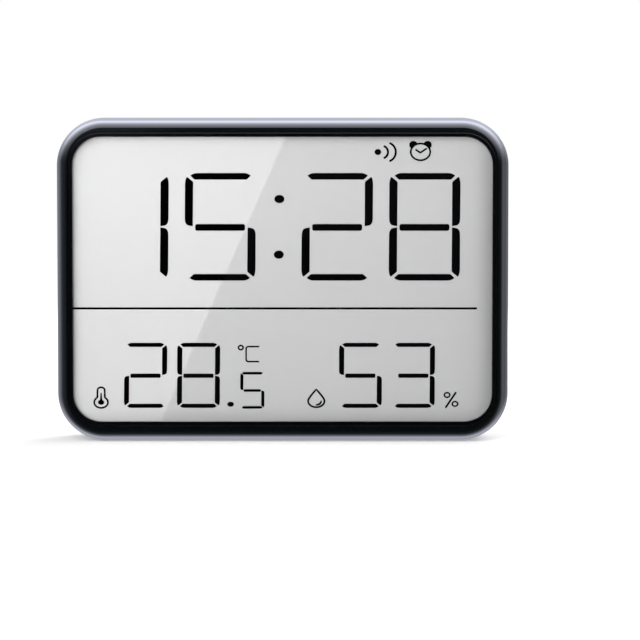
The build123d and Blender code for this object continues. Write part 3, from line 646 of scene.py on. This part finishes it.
def digit_row(digits, row, size, thicker=0.0):
    """Plates of several digits in a row, each given with the column of its middle."""
    return sum([digit(value, (column, row), size, thicker) for value, column in digits], [])


def shown(name, plates):
    """One group of marks on the display."""
    piece(name, plates, crystal_black, "case", smooth=False)


TIME_ROW = 226.8
TIME_DIGITS = [("1", 132.9), ("5", 220.2), ("2", 337.25), ("8", 424.6)]
TIME_DOTS = [(279.4, 199.0), (278.8, 254.6)]
TIME_DOT_SIZE = (5.0, 4.1)
time_dots = [filled(ellipse(middle, TIME_DOT_SIZE)) for middle in TIME_DOTS]
shown("time_digits", time_dots + digit_row(TIME_DIGITS, TIME_ROW, 1.0))

SMALL_ROW = 375.35
SMALL_SIZE = 0.603
SMALL_THICKER = 0.25
HEAT_DIGITS = [("2", 145.6), ("8", 198.55)]
HEAT_POINT = (230.6, 404.2)
HEAT_POINT_SIZE = (3.3, 2.5)
TENTH = (252.3, 390.3)
TENTH_SIZE = 0.338
TENTH_THICKER = 1.0
tenth = digit("5", TENTH, TENTH_SIZE, TENTH_THICKER)
heat_point = [filled(ellipse(HEAT_POINT, HEAT_POINT_SIZE))]
shown("temperature_digits",
      tenth + heat_point + digit_row(HEAT_DIGITS, SMALL_ROW, SMALL_SIZE, SMALL_THICKER))

DAMP_DIGITS = [("5", 360.45), ("3", 413.4)]
shown("humidity_digits", digit_row(DAMP_DIGITS, SMALL_ROW, SMALL_SIZE, SMALL_THICKER))

# Units: a ring and a squared C, and two rings with a slanting bar
DEGREE = (240.8, 347.6)
DEGREE_SIZE = (2.35, 2.15)
CELSIUS = [(258.9, 346.6), (246.1, 346.6), (246.1, 361.6), (258.9, 361.6)]
CELSIUS_ROUNDS = [0.01, 2.6, 2.6, 0.01]
PERCENT_RINGS = [(447.1, 395.0), (455.0, 403.9)]
PERCENT_RING_SIZE = (2.75, 2.3)
PERCENT_BAR = [(455.6, 392.8), (445.9, 407.2)]
PERCENT_BAR_LINE = 2.0
UNIT_LINE = 1.63
units = [drawn(ellipse(DEGREE, DEGREE_SIZE), UNIT_LINE, closed=True),
         drawn(rounded(CELSIUS, CELSIUS_ROUNDS), UNIT_LINE, round_ends=False),
         drawn(PERCENT_BAR, PERCENT_BAR_LINE)]
units += [drawn(ellipse(middle, PERCENT_RING_SIZE), UNIT_LINE, closed=True)
          for middle in PERCENT_RINGS]
shown("unit_signs", units)

# Thermometer: outline of the bulb and of the tube's round top, a dot in the bulb and a
# tapering thread
BULB = (101.1, 402.3)
BULB_SIZE = (6.9, 5.6)
BULB_ROUND = (-57, 237)
BULB_DOT_SIZE = (3.2, 2.5)
BULB_LINE = 1.85
TUBE_TOP = (101.1, 390.2)
TUBE_SIZE = (3.6, 2.9)
TUBE_ROUND = (180, 359.9)
THREAD = [(101.1, 401.9), (101.1, 399.0), (101.1, 393.3)]
THREAD_LINES = [2.8, 2.1, 1.3]
tube_outline = np.concatenate([ellipse(BULB, BULB_SIZE, BULB_ROUND, steps=34),
                               ellipse(TUBE_TOP, TUBE_SIZE, TUBE_ROUND, steps=14)])
thermometer = [drawn(tube_outline, BULB_LINE, closed=True), drawn(THREAD, THREAD_LINES),
               filled(ellipse(BULB, BULB_DOT_SIZE))]

# Drop: two flanks that curve from the tip to a round foot, and a short glint inside
DROP_MIDDLE = 316.3
DROP_TIP = (DROP_MIDDLE, 389.4)
DROP_FLANK = (309.7, 397.4)
DROP_FOOT = (DROP_MIDDLE, 401.4)
DROP_FOOT_SIZE = (8.1, 5.8)
DROP_FOOT_ROUND = (180, 0.1)
DROP_GLINT = [(321.2, 401.2), (319.7, 403.8), (316.6, 404.8)]
DROP_LINE = 1.9
GLINT_LINES = [1.6, 2.2, 1.8]
flank = bow(DROP_TIP, DROP_FLANK, (DROP_MIDDLE - DROP_FOOT_SIZE[0], DROP_FOOT[1]), steps=14)
other_flank = flank[::-1] * (-1, 1) + (2 * DROP_MIDDLE, 0)
foot = ellipse(DROP_FOOT, DROP_FOOT_SIZE, DROP_FOOT_ROUND, steps=22)
drop = [drawn(np.concatenate([flank[:-1], foot, other_flank[1:-1]]), DROP_LINE, closed=True),
        drawn(bow(*DROP_GLINT), GLINT_LINES)]

# Sound: a dot and two bows, each an arc with its middle, size and turns
SOUND_DOT = (377.9, 152.0)
SOUND_DOT_SIZE = (3.3, 3.0)
BOWS = [((381.6, 152.1), (6.4, 6.4), (-63, 63)), ((386.4, 152.1), (9.4, 9.6), (-66, 66))]
BOW_LINE = 2.15
sound = [filled(ellipse(SOUND_DOT, SOUND_DOT_SIZE))]
sound += [drawn(ellipse(*arc, steps=20), BOW_LINE) for arc in BOWS]

# Alarm: a ring with two hands, and an ear-shaped bell on each side, from its middle
ALARM = np.array([420.5, 151.9])
ALARM_SIZE = (9.75, 8.35)
BELL = np.array([(-8.9, -3.2), (-11.4, -5.5), (-11.1, -9.1), (-8.4, -11.2), (-5.4, -10.9),
                 (-2.7, -8.6), (-5.9, -7.1), (-7.6, -5.5)])
BELL_ROUND = 1.6
HANDS = [[(-4.4, -2.0), (-0.1, 0.8)], [(-0.1, 0.8), (5.8, -3.2)]]
ALARM_LINE = 1.85
HAND_LINE = 1.8
alarm = [drawn(ellipse(ALARM, ALARM_SIZE, steps=60), ALARM_LINE, closed=True)]
alarm += [filled(rounded(BELL * (side, 1) + ALARM, BELL_ROUND)) for side in (1, -1)]
alarm += [drawn(np.array(hand) + ALARM, HAND_LINE) for hand in HANDS]
shown("display_icons", thermometer + drop + sound + alarm)

DIVIDER = [(72.8, 308.4), (477.0, 308.4)]
DIVIDER_LINE = 2.15
shown("display_divider", [drawn(DIVIDER, DIVIDER_LINE, round_ends=False)])

# The clear pane again with a softly rounded, blackened front edge, which catches the light
# from above. Rings run from the middle of the front over the edge to the middle of the back,
# and the faces that aren't face on are the blackened ones.
PANE_CORNER = 7.1 * MM
PANE_EDGE = 0.18 * MM
PANE_EDGE_STEPS = 7
PANE_REAR_EDGE = 0.10 * MM
SUPPORT = 0.02 * MM
FACE_ON = 0.999


def pane_ring(size, inset, middle, steps=16):
    """Points round a rectangle with round corners, drawn in by the inset: each corner's
    arc about its own centre, with the radius less the inset."""
    turn = np.concatenate([np.linspace(k, k + 1, steps) for k in range(4)]) * np.pi / 2
    side_x = np.repeat([1, -1, -1, 1], steps)
    side_z = np.repeat([1, 1, -1, -1], steps)
    bend = PANE_CORNER - inset
    return np.column_stack([middle[0] + side_x * (size[0] - PANE_CORNER) + bend * np.cos(turn),
                            middle[2] + side_z * (size[2] - PANE_CORNER) + bend * np.sin(turn)])


low, high = (np.array(corner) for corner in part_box("front_lens"))
middle = middle_of("front_lens")
turn = np.radians(np.linspace(0, 90, PANE_EDGE_STEPS))
insets = [PANE_EDGE + SUPPORT, *PANE_EDGE * (1 - np.sin(turn)), 0, PANE_REAR_EDGE,
          PANE_REAR_EDGE + SUPPORT]
depths = [low[1], *low[1] + PANE_EDGE * (1 - np.cos(turn)), high[1] - PANE_REAR_EDGE, high[1],
          high[1]]
rings = [at_depth(pane_ring((high - low) / 2, inset, middle), y) for inset, y in zip(insets, depths)]
front_middle, rear_middle = (np.broadcast_to((middle[0], y, middle[2]), rings[0].shape)
                             for y in (low[1], high[1]))
pane = piece("clear_pane", [shell(np.stack([front_middle, *rings, rear_middle]))], pane_acrylic,
             "case", replaces=["front_lens"])
pane.data.materials.append(edge_paint)
facing = np.empty(3 * len(pane.data.polygons))
pane.data.polygons.foreach_get("normal", facing)
pane.data.polygons.foreach_set("material_index", (np.abs(facing[1::3]) < FACE_ON).astype(int))


# Screws
# Shares of the head's radius or height, and for the thread and the point of the shank's
# radius or length. The rim bends through its turns in degrees.
HEAD_CROWN = 0.18
CROWN_REACH = 0.9
RIM_TURNS = (15, 90)
ARM_HALF_WIDTH = 0.13
ARM_REACH = 0.56
ARM_SOFTNESS = 0.05
ARM_DEPTH = 0.62
ARM_RISE = 0.45
THREAD_DEPTH = 0.16
THREAD_PITCH = 0.7
THREAD_START = 1 / 12
POINT_LENGTH = 0.8
AROUND = 96
CROWN_STEPS = 40
RIM_STEPS = 5
SHANK_STEPS = 60
# Turn at which a node's first screw rests, and by which each next one rests farther round
FIRST_REST = 0.4
NEXT_REST = 0.9
# Points of one screw lie within this many radii of each other, and middles are kept to a
# hundredth of a millimetre
ONE_SCREW = 2.2
KEPT_DECIMALS = 5


def middles(name, reach):
    """Middles of a node's separate round parts, seen from behind: for each of its points,
    half way between the outermost of those within reach, each kept once."""
    points = np.array([v.co for v in nodes[name].data.vertices])[:, [0, 2]]
    near = np.linalg.norm(points[:, None] - points[None], axis=2) < reach
    lowest = np.where(near[..., None], points[None], np.inf).min(1)
    highest = np.where(near[..., None], points[None], -np.inf).max(1)
    return np.unique(np.round((lowest + highest) / 2, KEPT_DECIMALS), axis=0)


def cross_screw(x, z, turned, radius, height, shank, tip_y, top_y):
    """Pan-head screw with a cross recess, as rings of a radius and a depth round its axis.
    The head is a parabola less the recess, whose arms are soft steps of the distance from
    two crossed lines. The shank's radius rises and falls once a turn and once a pitch, and
    falls as a root towards the tip."""
    turn = np.linspace(0, 2 * np.pi, AROUND, endpoint=False)[None]
    crown = HEAD_CROWN * height
    soft = ARM_SOFTNESS * radius
    arm_reach = ARM_REACH * radius
    r = np.linspace(0, CROWN_REACH, CROWN_STEPS)[:, None] * radius
    across = np.abs(r * np.cos(turn + turned))
    up = np.abs(r * np.sin(turn + turned))
    nearer, farther = np.minimum(across, up), np.maximum(across, up)
    cut = np.clip((ARM_HALF_WIDTH * radius - nearer) / soft + 0.5, 0, 1)
    cut = cut * np.clip((arm_reach - farther) / soft + 0.5, 0, 1)
    cut = cut * cut * (3 - 2 * cut)
    depth = ARM_DEPTH * height * np.maximum(1 - ARM_RISE * farther / arm_reach, 0)
    head_y = top_y - crown * (r / radius) ** 2 - depth * cut

    bend = np.radians(np.linspace(*RIM_TURNS, RIM_STEPS))[:, None]
    rim_bend = (1 - CROWN_REACH) * radius
    rim_r = radius - rim_bend * (1 - np.sin(bend))
    rim_y = top_y - crown - rim_bend * (1 - np.cos(bend))

    seat = top_y - height
    t = np.linspace(0, 1, SHANK_STEPS)[:, None]
    turns = t * (seat - tip_y) / (THREAD_PITCH * shank)
    crest = 0.5 - 0.5 * np.cos(2 * np.pi * turns + turn)
    thread = 1 - THREAD_DEPTH * (1 - crest) * np.clip(t / THREAD_START, 0, 1)
    point = np.sqrt(np.clip((1 - t) * (seat - tip_y) / (POINT_LENGTH * shank), 0, 1))
    shank_y = seat - t * (seat - tip_y)

    parts = [(r, head_y), (rim_r, rim_y), (np.array([[radius]]), np.array([[seat]])),
             (shank * thread * point, shank_y)]
    rows = [np.stack(np.broadcast_arrays(part_r * np.cos(turn), part_y, part_r * np.sin(turn)), -1)
            for part_r, part_y in parts]
    return shell(np.concatenate(rows) + (x, 0, z))


def screws(name, radius, height, shank, finish):
    """All screws of a node, each turned to its own rest."""
    low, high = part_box(name)
    spots = middles(name, ONE_SCREW * radius)
    made = [cross_screw(x, z, FIRST_REST + NEXT_REST * k, radius, height, shank, low.y, high.y)
            for k, (x, z) in enumerate(spots)]
    piece(name.replace("screws", "cross_screws"), made, finish, "case", replaces=[name])


screws("case_screws", radius=2.0 * MM, height=1.4 * MM, shank=1.0 * MM,
       finish=black_steel)
screws("board_screws", radius=1.6 * MM, height=0.9 * MM, shank=0.7 * MM,
       finish=zinc)

# Battery contacts
PLATE_THICKNESS = 0.4 * MM
SPRING_ROOT = 2.8 * MM
SPRING_TIP = 2.0 * MM
SPRING_LENGTH = 4.6 * MM
SPRING_TURNS = 5.5
SPRING_WIRE = 0.22 * MM
SPRING_TURN_STEPS = 40
FLAT_SHARE = 0.12
BROKEN_EDGE = 0.06 * MM
WELD = 1e-6
STANDS_OFF = 1e-5


def contact_plate(name, end):
    """Copy of a contact's plate alone: its points merged, what stands off the plate's inner
    face cut away and the hole closed, and then its edges broken. It gives the inner face's
    place."""
    low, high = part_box(name)
    inner = low.x + PLATE_THICKNESS if end < 0 else high.x - PLATE_THICKNESS
    work = bmesh.new()
    work.from_mesh(nodes[name].data)
    bmesh.ops.remove_doubles(work, verts=work.verts, dist=WELD)
    beyond = [v for v in work.verts if (v.co.x - inner) * end < -STANDS_OFF]
    bmesh.ops.delete(work, geom=beyond, context="VERTS")
    bmesh.ops.holes_fill(work, edges=[e for e in work.edges if e.is_boundary])
    bmesh.ops.recalc_face_normals(work, faces=work.faces)
    mesh = bpy.data.meshes.new(f"{name}_plate")
    work.to_mesh(mesh)
    work.free()
    obj = mounted(f"{name}_plate", mesh, nickel, "case", [name])
    edge = obj.modifiers.new("broken_edge", "BEVEL")
    edge.width = BROKEN_EDGE
    edge.segments = 2
    edge.limit_method = "ANGLE"
    return inner


def spring(name, root_x, end, y, z):
    """Conical coil: a helix whose radius shrinks evenly. A share of it lies flat at each
    end, and its advance between them is half even and half a soft step."""
    t = np.linspace(0, 1, int(SPRING_TURNS * SPRING_TURN_STEPS))
    gone = np.clip((t - FLAT_SHARE) / (1 - 2 * FLAT_SHARE), 0, 1)
    gone = gone / 2 + gone * gone * (3 - 2 * gone) / 2
    turn = 2 * np.pi * SPRING_TURNS * t
    radius = SPRING_ROOT + (SPRING_TIP - SPRING_ROOT) * t - SPRING_WIRE
    x = root_x - end * (SPRING_WIRE + gone * (SPRING_LENGTH - 2 * SPRING_WIRE))
    outward = np.column_stack([np.zeros_like(t), np.cos(turn), np.sin(turn)])
    path = outward * radius[:, None] + np.column_stack([x, np.full_like(t, y), np.full_like(t, z)])
    piece(name, [tube(path, SPRING_WIRE, outward)], nickel, "case")


spring("negative_spring", contact_plate("negative_contact", -1), -1, *middle_of("upper_battery")[1:])
spring("series_spring", contact_plate("series_contact", 1), 1, *middle_of("lower_battery")[1:])

# Signs on the cells
CELL_RADIUS = 5.25 * MM
SIGN_AT = 16.5 * MM
SIGN_SPAN = 2.6 * MM
SIGN_STROKE = 0.55 * MM
SIGN_RAISED = 0.015 * MM
SIGN_SUNK = 0.02 * MM
SIGN_TURNED = np.radians(80)
SIGN_STEPS = 9


def wrapped(shapes, axis):
    """Flat shapes wrapped round a cell: across stays across, up becomes an angle about the
    cell's axis, and depth a distance from it."""
    bent = []
    for points, faces in shapes:
        angle = SIGN_TURNED - points[:, 2] / CELL_RADIUS
        r = CELL_RADIUS - points[:, 1]
        bent.append((np.column_stack([points[:, 0], axis[1] + r * np.sin(angle),
                                      axis[2] + r * np.cos(angle)]), faces))
    return bent


def cell_signs(name, nub_side):
    """A plus near the nub and a minus at the other end."""
    strokes = []
    for side, directions in ((nub_side, ((1, 0), (0, 1))), (-nub_side, ((0, 1),))):
        for direction in directions:
            reach = np.linspace(-0.5, 0.5, SIGN_STEPS)[:, None] * SIGN_SPAN * np.array(direction)
            path = reach + (side * SIGN_AT, 0)
            strokes.append(line_plate(path, SIGN_STROKE, -SIGN_RAISED, SIGN_SUNK))
    piece(f"{name}_battery_signs", wrapped(strokes, middle_of(f"{name}_battery")), red_ink,
          "case", smooth=False)


cell_signs("upper", 1)
cell_signs("lower", -1)

# Words and arrows on the back: printed under the keys, and moulded proud on the door
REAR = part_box("rear_cover")[1].y
INK_DEPTH = 0.02 * MM
ARROW_RAISED = 0.10 * MM
SUNK = 0.05 * MM
LEGEND_HEIGHT = 2.1 * MM
LEGEND_DROP = 5.1 * MM
LEGEND_ARROW = np.array([(-1.05, -0.8), (0, 0.95), (1.05, -0.8)]) * MM
LEGEND_ARROW_ROUND = 0.25 * MM
DOOR_ARROW = np.array([(-1.7, 1.0), (1.7, 1.0), (0, -1.5)]) * MM
DOOR_ARROW_ROUND = 0.3 * MM
DOOR_ARROW_DROP = 10.5 * MM


def under_key(name):
    """Place below a key, seen from behind."""
    x, _, z = middle_of(f"{name}_button")
    return x, z - LEGEND_DROP


def key_word(name):
    """Word below a key, made as text, turned into a mesh and then laid on the back: across
    runs the other way there, up stays up, and its thickness stands out."""
    curve = bpy.data.curves.new(f"{name}_legend", "FONT")
    curve.body = name.upper()
    curve.size = LEGEND_HEIGHT
    curve.align_x = "CENTER"
    curve.align_y = "CENTER"
    curve.extrude = (INK_DEPTH + SUNK) / 2
    curve.resolution_u = 6
    maker = in_scene("maker", curve)
    mesh = bpy.data.meshes.new_from_object(maker)
    bpy.data.objects.remove(maker)
    x, z = under_key(name)
    points = np.empty(len(mesh.vertices) * 3)
    mesh.vertices.foreach_get("co", points)
    across, up, out = points.reshape(-1, 3).T
    laid = np.column_stack([x - across, REAR + (INK_DEPTH - SUNK) / 2 + out, z + up])
    mesh.vertices.foreach_set("co", laid.ravel())
    tidy_normals(mesh)
    mounted(f"{name}_legend", mesh, grey_ink, "case")


def key_arrow(name, way):
    """Small triangle below a key, pointing up or down."""
    outline = rounded(LEGEND_ARROW * (1, way), LEGEND_ARROW_ROUND, steps=5) + under_key(name)
    piece(f"{name}_legend", [plate(outline, REAR + INK_DEPTH, REAR - SUNK)], grey_ink, "case",
          smooth=False)


key_word("mode")
key_word("set")
key_arrow("up", 1)
key_arrow("down", -1)

low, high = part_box("battery_door")
outline = rounded(DOOR_ARROW, DOOR_ARROW_ROUND, steps=5) + (0, high.z - DOOR_ARROW_DROP)
piece("door_arrow", [plate(outline, high.y + ARROW_RAISED, high.y - SUNK)], door_abs, "door",
      smooth=False)

# Stage
# White floor, lit like any dull surface. The camera also sees it glow, the more the farther
# it is from the object, so that it comes out white but keeps the shadow. Mirrors see the
# room through it.
GLOW_NEAR = 0.30
GLOW_FAR = 0.78
GLOW_FROM = 0.12
GLOW_TO = 0.36
FLOOR_REACH = 3.0
FLOOR_LINES = 13


def staged(name, points, faces, finish):
    """Stage object of points and faces."""
    mesh = bpy.data.meshes.new(name)
    mesh.from_pydata(points.tolist(), [], faces.tolist())
    mesh.materials.append(finish)
    obj = in_scene(name, mesh)
    return obj


floor_paint, tree, place = blank("floor_white_paint")
path = add(tree, "ShaderNodeLightPath")
plain = add(tree, "ShaderNodeBsdfDiffuse", {"Color": "#E8E8E8"})[0]
paint = add(tree, "ShaderNodeBsdfDiffuse", {"Color": "#F0F0F0"})[0]
away = add(tree, "ShaderNodeVectorMath", {0: place}, operation="LENGTH")["Value"]
strength = add(tree, "ShaderNodeMapRange",
               {0: away, 1: GLOW_FROM, 2: GLOW_TO, 3: GLOW_NEAR, 4: GLOW_FAR})[0]
glow = add(tree, "ShaderNodeEmission", {"Color": "#FFFFFF", "Strength": strength})[0]
seen = add(tree, "ShaderNodeAddShader", {0: paint, 1: glow})[0]
lit = add(tree, "ShaderNodeMixShader", {0: path["Is Camera Ray"], 1: plain, 2: seen})[0]
absent = add(tree, "ShaderNodeBsdfTransparent", {"Color": "#FFFFFF"})[0]
both = add(tree, "ShaderNodeMixShader", {0: path["Is Glossy Ray"], 1: lit, 2: absent})[0]
add(tree, "ShaderNodeOutputMaterial", {"Surface": both})

spans = np.linspace(-FLOOR_REACH, FLOOR_REACH, FLOOR_LINES)
x, y = np.meshgrid(spans, spans, indexing="ij")
points, faces = shell(np.stack([x, y, np.zeros_like(x)], -1), close_columns=False)
staged("floor", points, faces[:, ::-1], floor_paint)

# Bright screen far behind the camera, cut so that the display mirrors it as the slanted
# sheen on its left. Only light that has gone in and out through the pane meets it, so it
# shows on the film and not on the pane. A ray from the eye's mirror image behind the film,
# through the film's point for a pixel, meets the screen where the sheen's corner lies.
SCREEN = -0.9
SCREEN_LEVELS = (3.4, 3.7)
SCREEN_LUMPS_MM = 300.0
PANE_CROSSINGS = 3.5
SHEEN = [(73.2, 136.9), (285.6, 136.9), (161.0, 421.4), (73.2, 421.4)]
SHEEN_ROUNDS = [30.0, 0.1, 0.1, 30.0]
film = on_depth(rounded(SHEEN, SHEEN_ROUNDS, steps=12), SEEN_DEPTH)
film[:, 1] = FACE
mirrored_eye = EYE * (1, -1, 1) + (0, 2 * FACE, 0)
through = film - mirrored_eye
corners = mirrored_eye + through * ((SCREEN - mirrored_eye[1]) / through[:, 1:2])
corner = np.arange(len(corners))
screen_points = np.concatenate([corners, corners.mean(0, keepdims=True)])
screen_faces = np.column_stack([np.full_like(corner, len(corners)), corner, np.roll(corner, -1)])
screen_paper, tree, place = blank("paper_lit_screen")
passes = add(tree, "ShaderNodeLightPath")["Transmission Depth"]
within = add(tree, "ShaderNodeMath", {0: passes, 1: PANE_CROSSINGS}, operation="GREATER_THAN")[0]
lit = uneven(tree, place, SCREEN_LUMPS_MM, *SCREEN_LEVELS)
level = add(tree, "ShaderNodeMath", {0: lit, 1: within}, operation="MULTIPLY")[0]
light = add(tree, "ShaderNodeEmission", {"Color": "#FFFFFF", "Strength": level})[0]
add(tree, "ShaderNodeOutputMaterial", {"Surface": light})
screen = staged("sheen_screen", screen_points, screen_faces, screen_paper)
screen.visible_camera = False
screen.visible_diffuse = False
screen.visible_shadow = False

# Surroundings: white to the camera and a soft even fill to dull surfaces. In mirrors they
# are a room, with its levels by the angle off the camera's side, in degrees: two dim walls,
# a long soft box overhead and a pale table below.
ROOM_LEFT = [(0, 0.03), (15, 0.07), (28, 0.15), (45, 0.2), (60, 0.25), (77, 0.55), (98, 1.0),
             (127, 0.63), (153, 0.33), (180, 0.15)]
ROOM_RIGHT = [(0, 0.03), (25, 0.05), (38, 0.2), (53, 0.7), (70, 1.0), (90, 0.8), (112, 0.5),
              (143, 0.25), (180, 0.15)]
ROOM_ABOVE = [(0, 0.03), (5, 0.04), (9, 0.8), (22, 2.1), (37, 2.7), (52, 3.7), (68, 5.6), (87, 7.6),
              (105, 7.2), (120, 3.9), (140, 1.7), (157, 0.9), (165, 0.9), (180, 0.3)]
ROOM_BELOW = [(0, 0.015), (18, 0.03), (40, 0.1), (55, 0.22), (72, 0.8), (92, 1.8), (117, 2.4),
              (132, 1.4), (146, 0.8), (161, 0.5), (180, 0.2)]
ROOM_TINT = "#E8EBFC"
FILL = 0.28
# The walls meet within this much of straight on, and give way to what is above or below
# between these sines of the rise
SIDES_MEET = 0.05
LIFT_FROM = 0.1
LIFT_TO = 0.9
world = bpy.data.worlds.new("studio")
bpy.context.scene.world = world
world.use_nodes = True
tree = world.node_tree
tree.nodes.clear()
path = add(tree, "ShaderNodeLightPath")
direction = add(tree, "ShaderNodeTexCoord")["Generated"]
axes = add(tree, "ShaderNodeSeparateXYZ", {"Vector": direction})
ahead = add(tree, "ShaderNodeMath", {0: axes["Y"], 1: -1.0}, operation="MULTIPLY")[0]
angle = add(tree, "ShaderNodeMath", {0: ahead}, operation="ARCCOSINE")[0]
degrees = add(tree, "ShaderNodeMath", {0: angle}, operation="DEGREES")[0]
sideways = add(tree, "ShaderNodeMath", {0: angle}, operation="SINE")[0]
lift = add(tree, "ShaderNodeMath", {0: axes["Z"], 1: sideways}, operation="DIVIDE")[0]
to_right = add(tree, "ShaderNodeMapRange", {0: axes["X"], 1: -SIDES_MEET, 2: SIDES_MEET})[0]
to_top, to_table = (add(tree, "ShaderNodeMapRange", {0: lift, 1: way * LIFT_FROM, 2: way * LIFT_TO},
                        interpolation_type="SMOOTHSTEP")[0] for way in (1, -1))
level = by_place(tree, degrees, ROOM_LEFT)
for share, stops in ((to_right, ROOM_RIGHT), (to_top, ROOM_ABOVE), (to_table, ROOM_BELOW)):
    level = add(tree, "ShaderNodeMix", {0: share, 2: level, 3: by_place(tree, degrees, stops)})[0]
room = add(tree, "ShaderNodeBackground", {"Color": ROOM_TINT, "Strength": level})[0]
fill = add(tree, "ShaderNodeBackground", {"Color": "#FFFFFF", "Strength": FILL})[0]
white = add(tree, "ShaderNodeBackground", {"Color": "#FFFFFF", "Strength": 1.0})[0]
in_mirror = add(tree, "ShaderNodeMath", {0: path["Is Glossy Ray"], 1: path["Is Transmission Ray"]},
                operation="MAXIMUM")[0]
lights = add(tree, "ShaderNodeMixShader", {0: in_mirror, 1: fill, 2: room})[0]
whole = add(tree, "ShaderNodeMixShader", {0: path["Is Camera Ray"], 1: lights, 2: white})[0]
add(tree, "ShaderNodeOutputWorld", {"Surface": whole})


def lamp(name, place, aim, side, watts):
    """Square soft lamp that faces a point, unseen itself and in mirrors."""
    light = bpy.data.lights.new(name, "AREA")
    light.shape = "SQUARE"
    light.size = side
    light.energy = watts
    obj = in_scene(name, light)
    back = unit(np.subtract(place, aim))
    right = unit(np.cross((0, 0, 1), back))
    obj.matrix_world = placed(right, np.cross(back, right), back, place)
    obj.visible_camera = False
    obj.visible_glossy = False
    obj.visible_transmission = False


DISPLAY_MIDDLE = (0.0, -0.01, 0.036)
CASE_MIDDLE = (0.0, 0.0, 0.036)
lamp("key_lamp", place=(-0.12, -0.26, 0.14), aim=DISPLAY_MIDDLE, side=0.24, watts=0.89)
lamp("back_lamp", place=(0.25, 0.50, 0.35), aim=CASE_MIDDLE, side=0.4, watts=3.0)
lamp("side_lamp", place=(0.55, 0.0, 0.35), aim=CASE_MIDDLE, side=0.4, watts=1.5)

bpy.context.scene.view_settings.view_transform = "Standard"
